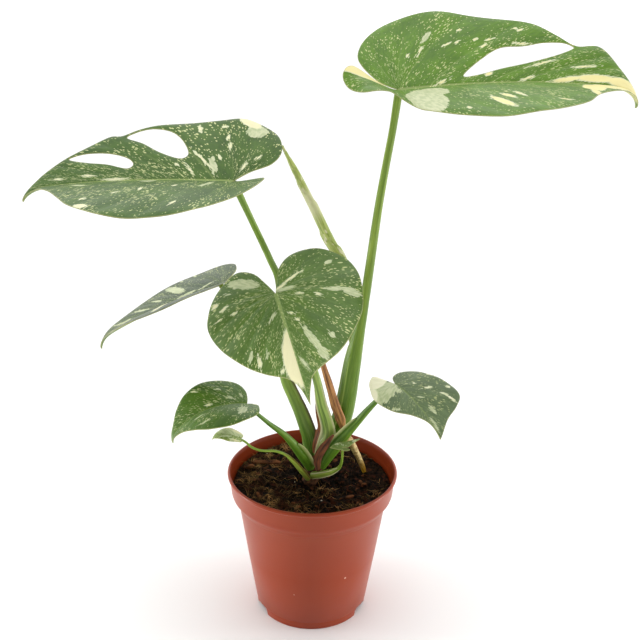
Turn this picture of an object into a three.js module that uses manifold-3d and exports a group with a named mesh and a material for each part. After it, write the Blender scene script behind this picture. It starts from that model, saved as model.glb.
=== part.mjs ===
// Young variegated monstera in a small plastic grower's pot.
// Millimetres, +Z up, origin at the centre of the pot's underside, +Y away from the viewer.
import * as THREE from "three";
import Module from "manifold-3d";

const wasm = await Module();
wasm.setup();

// Pot
const RIM_RADIUS = 60;
const POT_HEIGHT = 107.5;
const COLLAR_RADIUS = 57.4;
const COLLAR_FOOT = 91;
const TAPER_TOP_RADIUS = 52.8;
const TAPER_TOP = 84.9;
const BASE_RADIUS = 40;
const POT_WALL = 1.5;
const FOOT_RING_WIDTH = 3;
const CHANNEL_INNER_RADIUS = 24;
const CHANNEL_HEIGHT = 5.5;
const BEAD_HEIGHT = 5.6;
const FLOOR_THICKNESS = 1.6;
const FOOT_WINDOW_ANGLES = [-154, -26, 26, 154];
const POT_SIDES = 48;
const DRAIN_HOLES = 8;
const DRAIN_RADIUS = 3.6;

// Soil
const SOIL_TOP = 98;
const SOIL_SIDES = 36;

// Gap left between two pieces that touch
const SEAT = 0.3;
const BLADE_THICKNESS = 0.9;

const COLOURS = {
  pot: { color: "#a5523b", roughness: 0.5 },
  soil: { color: "#2a1a10", roughness: 1.0 },
  blade: { color: "#4b7a3a", roughness: 0.45 },
  petiole: { color: "#7ea043", roughness: 0.5 },
  new_leaf: { color: "#cdd08a", roughness: 0.5 },
  dry: { color: "#7d4f30", roughness: 0.85 },
  stem: { color: "#5a4632", roughness: 0.9 },
  root: { color: "#c9a860", roughness: 0.7 },
};

const radians = (degrees) => (degrees * Math.PI) / 180;

// Bodies are plain lists of points and triangles until they become meshes.
function toManifold(body) {
  return new wasm.Manifold(
    new wasm.Mesh({
      numProp: 3,
      vertProperties: Float32Array.from(body.points.flat()),
      triVerts: Uint32Array.from(body.triangles.flat()),
    }),
  );
}

// The largest single piece that a cut leaves.
function mainPiece(solid) {
  const pieces = solid.decompose();
  return pieces.reduce((best, piece) => (piece.volume() > best.volume() ? piece : best));
}

function toMesh(name, solid, slot) {
  const { vertProperties, triVerts, numProp } = solid.getMesh();
  const positions = new Float32Array((vertProperties.length / numProp) * 3);
  for (let i = 0; i < positions.length / 3; i += 1) {
    for (let k = 0; k < 3; k += 1) positions[i * 3 + k] = vertProperties[i * numProp + k];
  }
  const geometry = new THREE.BufferGeometry();
  geometry.setAttribute("position", new THREE.BufferAttribute(positions, 3));
  geometry.setIndex(new THREE.BufferAttribute(Uint32Array.from(triVerts), 1));
  geometry.computeVertexNormals();
  const look = COLOURS[slot];
  const material = new THREE.MeshStandardMaterial({ ...look, metalness: 0 });
  const mesh = new THREE.Mesh(geometry, material);
  mesh.name = name;
  return mesh;
}

// A closed body turned about Z. The profile runs from the axis, up the outside, back to the axis.
function revolve(profile, sides, lift = () => 0) {
  const points = [];
  const rings = profile.map(([radius, z]) => {
    if (radius === 0) {
      points.push([0, 0, z + lift(0, 0, z)]);
      return [points.length - 1];
    }
    return Array.from({ length: sides }, (_, i) => {
      const angle = (2 * Math.PI * i) / sides;
      const x = radius * Math.cos(angle);
      const y = radius * Math.sin(angle);
      points.push([x, y, z + lift(x, y, z)]);
      return points.length - 1;
    });
  });
  const triangles = [];
  for (let r = 0; r + 1 < rings.length; r += 1) {
    const low = rings[r];
    const high = rings[r + 1];
    for (let i = 0; i < sides; i += 1) {
      const j = (i + 1) % sides;
      if (low.length === 1) triangles.push([low[0], high[j], high[i]]);
      else if (high.length === 1) triangles.push([low[i], low[j], high[0]]);
      else triangles.push([low[i], low[j], high[j]], [low[i], high[j], high[i]]);
    }
  }
  return { points, triangles };
}

// A tapering stalk with rounded section. Each station is [x, y, z, half width, half depth].
// The section's width lies along "across".
function stalk(stations, { across = [1, 0, 0], rings = 12, sides = 8, grow = 0, bend = 0 } = {}) {
  const line = new THREE.CatmullRomCurve3(
    stations.map(([x, y, z]) => new THREE.Vector3(x, y, z)),
    false,
    "centripetal",
  );
  const side = new THREE.Vector3(...across);
  const points = [];
  const triangles = [];
  for (let r = 0; r <= rings; r += 1) {
    const t = r / rings;
    const centre = line.getPoint(t);
    const tangent = line.getTangent(t);
    const depthAxis = new THREE.Vector3().crossVectors(tangent, side).normalize();
    const widthAxis = new THREE.Vector3().crossVectors(depthAxis, tangent).normalize();
    const place = t * (stations.length - 1);
    const from = Math.min(Math.floor(place), stations.length - 2);
    const share = place - from;
    const halfWidth = THREE.MathUtils.lerp(stations[from][3], stations[from + 1][3], share) + grow;
    const halfDepth = THREE.MathUtils.lerp(stations[from][4], stations[from + 1][4], share) + grow;
    for (let i = 0; i < sides; i += 1) {
      const angle = (2 * Math.PI * i) / sides;
      const cup = bend * halfWidth * (Math.cos(angle) ** 2 - 0.5);
      const point = centre
        .clone()
        .addScaledVector(widthAxis, halfWidth * Math.cos(angle))
        .addScaledVector(depthAxis, halfDepth * Math.sin(angle) + cup);
      points.push(point.toArray());
    }
  }
  for (let r = 0; r < rings; r += 1) {
    for (let i = 0; i < sides; i += 1) {
      const j = (i + 1) % sides;
      const a = r * sides + i;
      const b = r * sides + j;
      triangles.push([a, b, b + sides], [a, b + sides, a + sides]);
    }
  }
  const start = points.push(line.getPoint(0).toArray()) - 1;
  const end = points.push(line.getPoint(1).toArray()) - 1;
  for (let i = 0; i < sides; i += 1) {
    const j = (i + 1) % sides;
    triangles.push([start, j, i], [end, rings * sides + i, rings * sides + j]);
  }
  // widthAxis x depthAxis points against the run of the line, so the faces are turned over
  return { points, triangles: orient(points, triangles) };
}

// Turns every face over where the body would be inside out.
function orient(points, triangles) {
  let volume = 0;
  for (const [a, b, c] of triangles) {
    const [ax, ay, az] = points[a];
    const [bx, by, bz] = points[b];
    const [cx, cy, cz] = points[c];
    volume += ax * (by * cz - bz * cy) - ay * (bx * cz - bz * cx) + az * (bx * cy - by * cx);
  }
  return volume > 0 ? triangles : triangles.map(([a, b, c]) => [a, c, b]);
}

// Leaf blades.
// A blade is drawn flat, in millimetres: x runs from the junction with its stalk to the tip,
// y out from the midrib. "left" and "right" are its margins from the notch at the stalk
// round the basal lobe to the tip, seen from above and looking from the stalk to the tip.
// Then it is bent: droop and hook bow the midrib down, fold lifts both halves, curl lets
// their margins fall, lift raises the basal lobes, sag lets the outer edge of a raised lobe
// fall back, and ripple waves the margin.
const LEAVES = {
  upper_right: {
    at: [50, 0, 369],
    yaw: -8, pitch: 7.5, roll: 20,
    length: 150, width: 76,
    droop: 15, bow: 1.2, hook: 90, fold: 15, curl: 8, ripple: 1.4,
    lift: { left: 2, right: 76 },
    sag: { left: 0, right: 221 },
    left: [
      [0, 0], [-12, 9], [-23, 26], [-26, 40], [-20, 59], [-6, 73], [22, 79],
      [44, 74], [67, 66], [84, 58], [97, 46], [108, 36], [122, 37], [132, 17], [140, 6], [150, 0],
    ],
    right: [
      [0, 0], [-14, 0.5], [-25, 2.5], [-30.5, 14], [-27.5, 24], [-17.5, 31.5], [-7.5, 34], [5.6, 46],
      [23, 56], [40, 65], [60, 73], [78, 64], [90, 56], [105, 42], [115, 24], [132, 8], [150, 0],
    ],
    holes: [{ side: "left", outline: [
      [39, 8], [48, 8], [62, 13], [78, 18], [94, 25], [104, 31.5], [106, 35], [100, 38.5], [88, 38], [76, 35],
      [62, 34], [50, 23],
    ] }],
    rows: 26,
  },
  upper_left: {
    at: [-50, -20, 316],
    yaw: 187, pitch: 3, roll: -13,
    length: 129, width: 68,
    droop: 11, bow: 1.2, hook: 60, fold: 14, curl: 8, ripple: 1.2,
    lift: { left: 20, right: 0 },
    left: [
      [0, 0], [-11, 2], [-18, 9], [-15, 22], [-8, 36], [4, 51], [28, 68],
      [47, 72], [62, 74], [76, 67], [90, 50], [99, 31], [107, 14], [115, 4], [129, 0],
    ],
    right: [
      [0, 0], [-11, 10], [-25, 20], [-32, 36], [-29, 57], [-12, 71], [6, 69],
      [26, 67], [43, 62], [57, 55], [68, 48], [76, 48], [88, 38], [101, 26], [112, 13], [119, 5.5], [129, 0],
    ],
    holes: [
      { side: "right", outline: [[49, 56], [38, 54], [31, 44], [27, 28], [32, 22], [44, 28], [55, 38], [65, 45], [60, 51]] },
      { side: "right", outline: [[90, 30], [76, 29], [64, 23], [60, 16], [64, 12], [76, 17], [88, 20], [99, 25]] },
    ],
    rows: 26,
  },
  middle_left: {
    at: [-65, 40, 231],
    yaw: 185, pitch: -18, roll: 7,
    length: 101, width: 51,
    droop: 15, bow: 1.2, hook: 62, fold: 10, curl: 7, ripple: 0.8,
    lift: { left: 6, right: 0 },
    left: [
      [0, 0], [-5, 7], [-9, 16], [-8, 28], [4, 34], [24, 38], [41, 43], [58, 44], [75, 28], [86, 8], [101, 0],
    ],
    right: [
      [0, 0], [-7, 9], [-11, 22], [-9, 37], [2, 44], [23, 46], [42, 39], [60, 30], [77, 18], [92, 8], [101, 0],
    ],
    holes: [],
    rows: 22,
  },
  centre: {
    at: [-24, -30, 248],
    yaw: -76, pitch: -19, roll: 20,
    length: 101, width: 50,
    droop: -6, bow: 1.2, hook: 26, fold: 3, curl: 15, ripple: 0.9,
    lift: { left: 0, right: 0 },
    left: [
      [0, 0], [-21, 6], [-31.5, 16], [-32, 31], [-25, 42], [-12, 51], [9, 53],
      [34, 47.5], [54.5, 37], [69, 25], [80, 8], [89, 3.5], [101, 0],
    ],
    right: [
      [0, 0], [-12, 4], [-26, 10], [-33, 20], [-27, 31], [-18, 39], [-5, 44.5],
      [10, 47], [32, 41], [53, 30], [67, 19], [78, 7], [88, 2.5], [101, 0],
    ],
    holes: [],
    rows: 22,
  },
  lower_left: {
    at: [-43, -30, 172],
    yaw: 203, pitch: 11, roll: -2,
    length: 60, width: 33,
    droop: 75, bow: 1.4, hook: 40, fold: 13, curl: 16, ripple: 0.6,
    lift: { left: 0, right: 0 },
    left: [[0, 0], [-2, 5], [-3, 11], [-1, 19], [7, 27], [19, 31], [32, 28], [40, 19], [48, 9], [60, 0]],
    right: [[0, 0], [-2, 6], [-3, 15], [0, 24], [10, 31], [20, 31], [34, 25], [43, 16], [51, 6], [60, 0]],
    holes: [],
    rows: 18,
  },
  lower_right: {
    at: [53, -30, 187],
    yaw: -64, pitch: 1, roll: 12,
    length: 54, width: 31,
    droop: 44, bow: 1.2, hook: 28, fold: 6, curl: 18, ripple: 0.6,
    lift: { left: 0, right: 0 },
    left: [[0, 0], [-8, 3], [-10, 10], [-4, 19], [5, 23], [18, 28], [32, 28], [39, 21], [45, 10], [54, 0]],
    right: [[0, 0], [-11, 3], [-18, 6], [-13, 12], [-5, 16], [8, 20], [23, 17], [33, 7.5], [42, 1.5], [54, 0]],
    holes: [],
    rows: 18,
  },
  tiny_left: {
    at: [-47.9, -26, 144.2],
    yaw: 184, pitch: 28, roll: -10,
    length: 22, width: 9,
    droop: 100, bow: 2, hook: 0, fold: 8, curl: 20, ripple: 0.3,
    lift: { left: 0, right: 0 },
    left: [[0, 0], [-1, 2], [0, 4], [4, 6], [9, 7], [15, 5], [22, 0]],
    right: [[0, 0], [-1, 2], [-1, 4], [2, 6], [8, 7], [14, 5], [22, 0]],
    holes: [],
    rows: 8,
  },
  tiny_right: {
    at: [20.1, -22.5, 136.3],
    yaw: 180, pitch: 4, roll: -35,
    length: 8.6, width: 6,
    droop: 20, bow: 1, hook: 10, fold: 2, curl: 12, ripple: 0,
    lift: { left: 0, right: 0 },
    left: [[0, 0], [-2.4, 0.1], [-5.4, 1], [-2, 2], [1.5, 1.4], [5, 1], [8.6, 0]],
    right: [[0, 0], [-4, 2], [-8, 4.6], [-12, 8], [-8, 6.8], [-4.5, 5], [-1, 4.2], [3, 3.6], [6, 2], [8.6, 0]],
    holes: [],
    rows: 10,
  },
};

const BEND_STEPS = 80;
const HOOK_START = 0.8;
const LOBE_LIFT_START = 0.16;

// The bowed midrib in the blade's own upright plane, as equal steps along its length.
function midrib(leaf) {
  const step = (leaf.length * 1.02) / BEND_STEPS;
  const line = [{ x: 0, z: 0, angle: 0 }];
  for (let i = 1; i <= BEND_STEPS; i += 1) {
    const share = (i * step) / leaf.length;
    const before = line[i - 1];
    const beyond = Math.min(Math.max((share - HOOK_START) / (1 - HOOK_START), 0), 1);
    line.push({
      x: before.x + Math.cos(before.angle) * step,
      z: before.z + Math.sin(before.angle) * step,
      angle: -radians(leaf.droop) * share ** leaf.bow - radians(leaf.hook) * beyond ** 2,
    });
  }
  return { line, step };
}

// Where a flat point (x, y) of one half lies on the bent blade, in the blade's own frame.
function bent(leaf, rib, x, y, side) {
  const along = Math.min(Math.max(x, 0) / rib.step, BEND_STEPS - 0.001);
  const k = Math.floor(along);
  const share = along - k;
  const a = rib.line[k];
  const b = rib.line[k + 1];
  const angle = THREE.MathUtils.lerp(a.angle, b.angle, share);
  const ribX = THREE.MathUtils.lerp(a.x, b.x, share) + Math.min(x, 0);
  const ribZ = THREE.MathUtils.lerp(a.z, b.z, share);
  const fold = radians(leaf.fold);
  const turn = radians(leaf.curl) / leaf.width;
  const out = (Math.sin(fold) - Math.sin(fold - turn * y)) / turn;
  const up = (Math.cos(fold - turn * y) - Math.cos(fold)) / turn;
  const spread = y / leaf.width;
  const behind = Math.max(LOBE_LIFT_START * leaf.length * spread - x, 0);
  const swing = (height, reach) => (height * reach ** 2) / ((reach + 0.1 * leaf.length) * 0.4 * leaf.length);
  const sag = leaf.sag ? leaf.sag[side] * spread : 0;
  const lobe = swing(leaf.lift[side], behind) - swing(sag, Math.max(-x, 0));
  const wave = leaf.ripple * spread ** 2 * Math.sin((13 * x) / leaf.length + (side === "left" ? 0 : 2));
  const hand = side === "left" ? 1 : -1;
  return new THREE.Vector3(
    ribX - up * Math.sin(angle),
    hand * out,
    ribZ + up * Math.cos(angle) + lobe + wave,
  );
}

// From the blade's own frame to the plant's: roll, then pitch, then heading, then the junction.
function turned(leaf, direction) {
  return direction
    .applyAxisAngle(new THREE.Vector3(1, 0, 0), radians(leaf.roll))
    .applyAxisAngle(new THREE.Vector3(0, 1, 0), -radians(leaf.pitch))
    .applyAxisAngle(new THREE.Vector3(0, 0, 1), radians(leaf.yaw));
}

function stand(leaf, point) {
  return turned(leaf, point).add(new THREE.Vector3(...leaf.at));
}

// A point "rise" millimetres above the blade's middle surface.
function onBlade(leaf, rib, x, y, side, rise) {
  const near = 0.4;
  const here = bent(leaf, rib, x, y, side);
  const ahead = bent(leaf, rib, x + near, y, side).sub(here);
  const outward = bent(leaf, rib, x, y + near, side).sub(here);
  const normal = new THREE.Vector3().crossVectors(ahead, outward).normalize();
  if (side === "right") normal.negate();
  return stand(leaf, here.clone().addScaledVector(normal, rise));
}

const ROWS_BEFORE_MIDRIB = 0.36;
const COLUMNS = 4;
const PLUG_REACH = 5;

function bladeBody(leaf, thickness) {
  const rib = midrib(leaf);
  const points = [];
  const half = thickness / 2;
  const pair = (x, y, side) => {
    points.push(onBlade(leaf, rib, x, y, side, half).toArray());
    points.push(onBlade(leaf, rib, x, y, side, -half).toArray());
    return points.length / 2 - 1;
  };
  const ribAt = (row) => {
    const share = (row / leaf.rows - ROWS_BEFORE_MIDRIB) / (1 - ROWS_BEFORE_MIDRIB);
    return leaf.length * Math.max(share, 0);
  };
  const junction = pair(0, 0, "left");
  const tip = pair(leaf.length, 0, "left");
  const ribIndex = [];
  for (let row = 0; row < leaf.rows; row += 1) {
    ribIndex.push(ribAt(row) > 0 ? pair(ribAt(row), 0, "left") : junction);
  }
  const triangles = [];
  const top = (index) => index * 2;
  const bottom = (index) => index * 2 + 1;
  const face = (a, b, c, side) => {
    const [p, q, r] = side === "left" ? [a, b, c] : [a, c, b];
    if (p === q || q === r || p === r) return;
    triangles.push([top(p), top(q), top(r)], [bottom(p), bottom(r), bottom(q)]);
  };
  const wall = (a, b, side) => {
    const [p, q] = side === "left" ? [a, b] : [b, a];
    triangles.push([top(p), bottom(p), bottom(q)], [top(p), bottom(q), top(q)]);
  };
  for (const side of ["left", "right"]) {
    const margin = new THREE.SplineCurve(leaf[side].map(([x, y]) => new THREE.Vector2(x, y)));
    const grid = [];
    for (let row = 1; row < leaf.rows; row += 1) {
      const edge = margin.getPoint(row / leaf.rows);
      const start = ribAt(row);
      const line = [ribIndex[row]];
      for (let column = 1; column <= COLUMNS; column += 1) {
        const share = column / COLUMNS;
        line.push(pair(start + (edge.x - start) * share, Math.max(edge.y, 0) * share, side));
      }
      grid.push(line);
    }
    for (let row = 0; row + 1 < grid.length; row += 1) {
      for (let column = 0; column < COLUMNS; column += 1) {
        const a = grid[row][column];
        const b = grid[row + 1][column];
        const c = grid[row + 1][column + 1];
        const d = grid[row][column + 1];
        face(a, b, c, side);
        face(a, c, d, side);
      }
      wall(grid[row + 1][COLUMNS], grid[row][COLUMNS], side);
    }
    for (let column = 0; column < COLUMNS; column += 1) {
      face(grid.at(-1)[column], tip, grid.at(-1)[column + 1], side);
      wall(grid[0][column + 1], grid[0][column], side);
    }
    wall(tip, grid.at(-1)[COLUMNS], side);
  }
  return { points, triangles: orient(points, triangles) };
}

// A straight-sided body between two rings of points.
function ringPrism(flat, lower, upper) {
  const count = flat.length;
  const points = [...upper, ...lower];
  const triangles = [];
  for (const [a, b, c] of THREE.ShapeUtils.triangulateShape(flat, [])) {
    triangles.push([a, b, c], [a + count, c + count, b + count]);
  }
  const clockwise = THREE.ShapeUtils.isClockWise(flat);
  for (let i = 0; i < count; i += 1) {
    const j = (i + 1) % count;
    const [p, q] = clockwise ? [j, i] : [i, j];
    triangles.push([p, p + count, q + count], [p, q + count, q]);
  }
  return { points, triangles: orient(points, triangles) };
}

// A plug with the outline of a hole, bent with the blade.
function holePlug(leaf, hole) {
  const rib = midrib(leaf);
  const curve = new THREE.CatmullRomCurve3(
    hole.outline.map(([x, y]) => new THREE.Vector3(x, y, 0)),
    true,
  );
  const flat = curve
    .getPoints(hole.outline.length * 2)
    .slice(0, -1)
    .map(({ x, y }) => new THREE.Vector2(x, y));
  const layer = (rise) => flat.map(({ x, y }) => onBlade(leaf, rib, x, y, hole.side, rise).toArray());
  return ringPrism(flat, layer(-PLUG_REACH), layer(PLUG_REACH));
}

function blade(leaf) {
  let solid = toManifold(bladeBody(leaf, BLADE_THICKNESS));
  for (const hole of leaf.holes) solid = solid.subtract(toManifold(holePlug(leaf, hole)));
  return solid;
}

// The wall's inner radius at a height above the floor.
const TAPER_SLOPE = (TAPER_TOP_RADIUS - BASE_RADIUS) / TAPER_TOP;
const FLOOR_TOP = CHANNEL_HEIGHT + FLOOR_THICKNESS;
const innerTaper = (z) => BASE_RADIUS - POT_WALL + TAPER_SLOPE * z;

function potProfile() {
  return [
    [0, 0],
    [CHANNEL_INNER_RADIUS, 0],
    [CHANNEL_INNER_RADIUS + 1.5, CHANNEL_HEIGHT],
    [BASE_RADIUS - FOOT_RING_WIDTH, CHANNEL_HEIGHT],
    [BASE_RADIUS - FOOT_RING_WIDTH, 0],
    [BASE_RADIUS - 0.4, 0],
    [BASE_RADIUS, 0.5],
    [BASE_RADIUS + TAPER_SLOPE * BEAD_HEIGHT - 0.4, BEAD_HEIGHT],
    [BASE_RADIUS + TAPER_SLOPE * BEAD_HEIGHT, BEAD_HEIGHT + 0.5],
    [TAPER_TOP_RADIUS, TAPER_TOP],
    [COLLAR_RADIUS - 0.9, COLLAR_FOOT - 0.6],
    [COLLAR_RADIUS, COLLAR_FOOT + 1.5],
    [COLLAR_RADIUS + 1.2, POT_HEIGHT - 3.2],
    [RIM_RADIUS - 0.4, POT_HEIGHT - 2.6],
    [RIM_RADIUS, POT_HEIGHT - 1.4],
    [RIM_RADIUS - 0.4, POT_HEIGHT - 0.3],
    [RIM_RADIUS - 1.2, POT_HEIGHT],
    [RIM_RADIUS - 2, POT_HEIGHT - 0.8],
    [COLLAR_RADIUS - POT_WALL + 1.2, POT_HEIGHT - 3.2],
    [COLLAR_RADIUS - POT_WALL, COLLAR_FOOT + 1.5],
    [TAPER_TOP_RADIUS - POT_WALL, TAPER_TOP],
    [innerTaper(FLOOR_TOP), FLOOR_TOP],
    [CHANNEL_INNER_RADIUS, FLOOR_TOP],
    [CHANNEL_INNER_RADIUS - 1.5, FLOOR_THICKNESS],
    [0, FLOOR_THICKNESS],
  ];
}

// A window through the foot ring. Its tall end is nearer to the pot's front or back.
function footWindow(angle) {
  const tallEnd = Math.sign(Math.sin(radians(angle)) * Math.cos(radians(angle)));
  const outline = [[-8, -1], [-8, 0.8], [-4.5, 2.8], [4, 4.7], [7, 4.9], [8.5, -1]];
  const flat = outline.map(([along, up]) => new THREE.Vector2(along * tallEnd, up));
  const layer = (radius) =>
    flat.map(({ x, y }) => new THREE.Vector3(radius, x, y)
      .applyAxisAngle(new THREE.Vector3(0, 0, 1), radians(angle)).toArray());
  return ringPrism(flat, layer(BASE_RADIUS - FOOT_RING_WIDTH - 4), layer(BASE_RADIUS + 5));
}

function drainHole(angle) {
  const centreRadius = (CHANNEL_INNER_RADIUS + 1.5 + BASE_RADIUS - FOOT_RING_WIDTH) / 2;
  const sides = 12;
  const flat = Array.from({ length: sides }, (_, i) => {
    const turn = (2 * Math.PI * i) / sides;
    return new THREE.Vector2(
      centreRadius * Math.cos(angle) + DRAIN_RADIUS * Math.cos(turn),
      centreRadius * Math.sin(angle) + DRAIN_RADIUS * Math.sin(turn),
    );
  });
  const layer = (z) => flat.map(({ x, y }) => [x, y, z]);
  return ringPrism(flat, layer(CHANNEL_HEIGHT - 1), layer(FLOOR_TOP + 1));
}

function pot() {
  let solid = toManifold(revolve(potProfile(), POT_SIDES));
  for (const angle of FOOT_WINDOW_ANGLES) solid = solid.subtract(toManifold(footWindow(angle)));
  for (let i = 0; i < DRAIN_HOLES; i += 1) {
    solid = solid.subtract(toManifold(drainHole((2 * Math.PI * (i + 0.5)) / DRAIN_HOLES)));
  }
  return solid;
}

// The soil fills the pot to a little under the rim, higher at the back left.
function soil() {
  const top = SOIL_TOP;
  const lift = (x, y, z) => {
    if (z < top - 5) return 0;
    const slope = -0.022 * x + 0.03 * y;
    const clods = Math.sin(x / 6.5 + 1) * Math.cos(y / 5.5) + 0.6 * Math.sin((x + y) / 3.7);
    return slope + 0.7 * clods;
  };
  const profile = [
    [0, FLOOR_THICKNESS + SEAT],
    [CHANNEL_INNER_RADIUS - 2.1, FLOOR_THICKNESS + SEAT],
    [CHANNEL_INNER_RADIUS - 0.6, FLOOR_TOP + SEAT],
    [innerTaper(FLOOR_TOP) - SEAT - 0.1, FLOOR_TOP + SEAT],
    [TAPER_TOP_RADIUS - POT_WALL - SEAT, TAPER_TOP],
    [COLLAR_RADIUS - POT_WALL - SEAT, COLLAR_FOOT + 1.5],
    [COLLAR_RADIUS - POT_WALL - 0.2, top - 2.4],
    [COLLAR_RADIUS - POT_WALL - 2.5, top - 0.6],
    ...[46, 38, 30, 22, 14, 7].map((radius) => [radius, top]),
    [0, top],
  ];
  return toManifold(revolve(profile, SOIL_SIDES, lift));
}

// Stalks, sheaths and roots, as [x, y, z, half width, half depth] from the crown outwards.
// A later piece is cut back to a thin gap where it leans on an earlier one.
const STALKS = [
  {
    name: "stem", slot: "stem", rings: 8,
    stations: [[-1, 0, 87, 5, 5], [-1, 0, 98, 6, 5.6], [1, 1, 108, 7, 6], [3, 2, 118, 6, 5.4]],
  },
  {
    name: "petiole_upper_right", slot: "petiole", rings: 18, sides: 10, blade: "upper_right",
    stations: [
      [5, 4, 110, 5, 4.4], [14, 4, 128, 6.3, 5], [21, 4, 147, 6.5, 5], [23.5, 4, 161, 6.3, 4.8],
      [27, 4, 189, 5.6, 4.4], [30.5, 3.5, 212, 4, 3.6], [33.5, 3, 233, 3.2, 3], [40.5, 2, 297, 2.6, 2.5],
      [44.2, 1, 324, 2.4, 2.3], [47.3, 0.5, 345, 2.3, 2.2], [50.5, 0, 370.5, 2.3, 2.3],
    ],
  },
  {
    name: "petiole_upper_left", slot: "petiole", rings: 18, blade: "upper_left",
    stations: [
      [0, 1, 111, 4, 3.6], [-2, 1, 129, 4.8, 4], [-4.5, 1, 138, 4.8, 4], [-9.5, 2, 152, 4.3, 3.8],
      [-14, 3, 162, 3.9, 3.6], [-19.5, 5, 175, 3.4, 3.2], [-22, 9, 209, 2.7, 2.6],
      [-24, 11, 244, 2.4, 2.3], [-29.3, 5, 260, 2.2, 2.2], [-40.5, -12, 292, 2, 2],
      [-51, -21, 318, 2.1, 2.1],
    ],
  },
  {
    name: "petiole_centre", slot: "petiole", rings: 14, blade: "centre",
    stations: [
      [5, -5, 116, 3.6, 3], [8, -7.5, 131, 4, 3.2], [11, -8, 141, 4.2, 3.2], [6, -10, 163, 3.2, 2.8],
      [1.5, -12, 184, 2.6, 2.4], [-9, -19, 218, 2.2, 2.1], [-23, -32, 249, 2.1, 2.1],
    ],
  },
  {
    name: "petiole_middle_left", slot: "petiole", rings: 14, blade: "middle_left",
    stations: [
      [-3, 5, 113, 3.2, 3], [-6, 9, 135, 3, 2.8], [-14, 16, 162, 2.5, 2.4], [-29, 27, 190, 2.1, 2],
      [-48, 36, 213, 1.9, 1.9], [-67, 40.5, 232, 1.8, 1.8],
    ],
  },
  {
    name: "petiole_lower_right", slot: "petiole", rings: 12, blade: "lower_right",
    stations: [
      [6, -9, 114, 3.4, 3], [15, -11, 130, 4.6, 3], [26.7, -14, 147.2, 3.1, 2.3], [42.4, -22, 171.5, 1.8, 1.7],
      [54, -31, 187.5, 1.5, 1.5],
    ],
  },
  {
    name: "petiole_lower_left", slot: "petiole", rings: 14, blade: "lower_left",
    stations: [
      [-1.5, -5.5, 111, 3.4, 2.8], [-7, -12, 124, 3.8, 3], [-12, -15, 133, 3.3, 2.7], [-19, -18, 143, 2.3, 2.1],
      [-29, -23, 154, 1.9, 1.8], [-37, -28, 164, 1.6, 1.5], [-44.5, -30.5, 173, 1.5, 1.5],
    ],
  },
  {
    name: "petiole_tiny_left", slot: "petiole", rings: 16, blade: "tiny_left", runsOn: true,
    stations: [
      [-3, -10, 105, 2.1, 1.9], [-8.5, -17.5, 117, 2, 1.8], [-14, -21.5, 126, 1.5, 1.4],
      [-18, -23.5, 131, 1.1, 1.1], [-25, -25, 134.5, 1, 1], [-35, -26, 135.5, 1, 1],
      [-41, -26, 138, 1, 1], [-45, -26, 141.8, 1, 1], [-48.2, -26, 144.2, 0.9, 0.9],
    ],
  },
  {
    name: "petiole_tiny_right", slot: "petiole", rings: 14, across: [0, 1, 0], blade: "tiny_right",
    stations: [
      [0, -7.5, 106, 2.8, 2.4], [7, -11.5, 109.5, 2.7, 2.4], [13.5, -16, 114, 2.1, 2],
      [18, -18, 118, 1.6, 1.5], [19.5, -19.6, 122, 1.1, 1.1], [20.2, -21.3, 129, 0.9, 0.9],
      [20.1, -22.6, 137.8, 0.9, 0.9],
    ],
  },
  {
    name: "new_leaf", slot: "new_leaf", rings: 16, sides: 10,
    stations: [
      [28, 5, 192, 1.8, 1.8], [24.5, 6, 211, 1.8, 1.8], [24.6, 8, 232, 2, 2], [22.5, 9.5, 246, 2.6, 2.5],
      [17.8, 11, 258, 3.6, 3.4], [9, 16, 271.5, 3.6, 3.4], [-2.6, 22, 294, 3, 2.8], [-12.9, 26, 313, 2.3, 2.2],
      [-22, 29.5, 330, 0.9, 0.9],
    ],
  },
  {
    name: "dry_sheath", slot: "dry", rings: 8, bend: 0.15,
    stations: [
      [21, -2.4, 140.5, 1.8, 1.2], [19, -3.4, 148, 3.5, 0.9], [15.8, -3.6, 157, 3.3, 0.7],
      [12.3, -3.4, 169, 2.5, 0.6], [7.5, -3, 186, 1.5, 0.6],
    ],
  },
  {
    name: "dry_bract", slot: "dry", rings: 8,
    stations: [
      [4, -11, 112, 1.6, 1.2], [3.5, -13, 122, 3, 0.9], [7.8, -14.6, 132.5, 3, 0.7], [14, -16.4, 142.5, 0.9, 0.5],
    ],
  },
  {
    name: "aerial_root", slot: "root", rings: 10,
    stations: [
      [18, 4, 129, 2.4, 2.4], [24, 4, 130, 2.5, 2.4], [31, 8, 116, 2.3, 2.2], [36.5, 11.5, 102, 1.8, 1.7],
      [38, 12.5, 95, 1.3, 1.3],
    ],
  },
];

const stalkBody = (spec, grow) => toManifold(stalk(spec.stations, { ...spec, grow }));

const plant = new THREE.Group();
plant.name = "potted_monstera";

// A stalk's top is cut square to its blade, just under the midrib. A stalk that runs straight
// on into the midrib is cut back from the blade's edge instead.
function seatedUnder(leaf, solid, runsOn) {
  if (runsOn) {
    const back = turned(leaf, new THREE.Vector3(-SEAT, 0, 0));
    const at = leaf.at.map((place, axis) => place + back.getComponent(axis));
    return solid.subtract(toManifold(bladeBody({ ...leaf, at }, BLADE_THICKNESS + 2 * SEAT)));
  }
  const down = turned(leaf, new THREE.Vector3(0, 0, -1));
  const depth = BLADE_THICKNESS / 2 + SEAT;
  return solid.trimByPlane(down.toArray(), down.dot(new THREE.Vector3(...leaf.at)) + depth);
}

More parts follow.
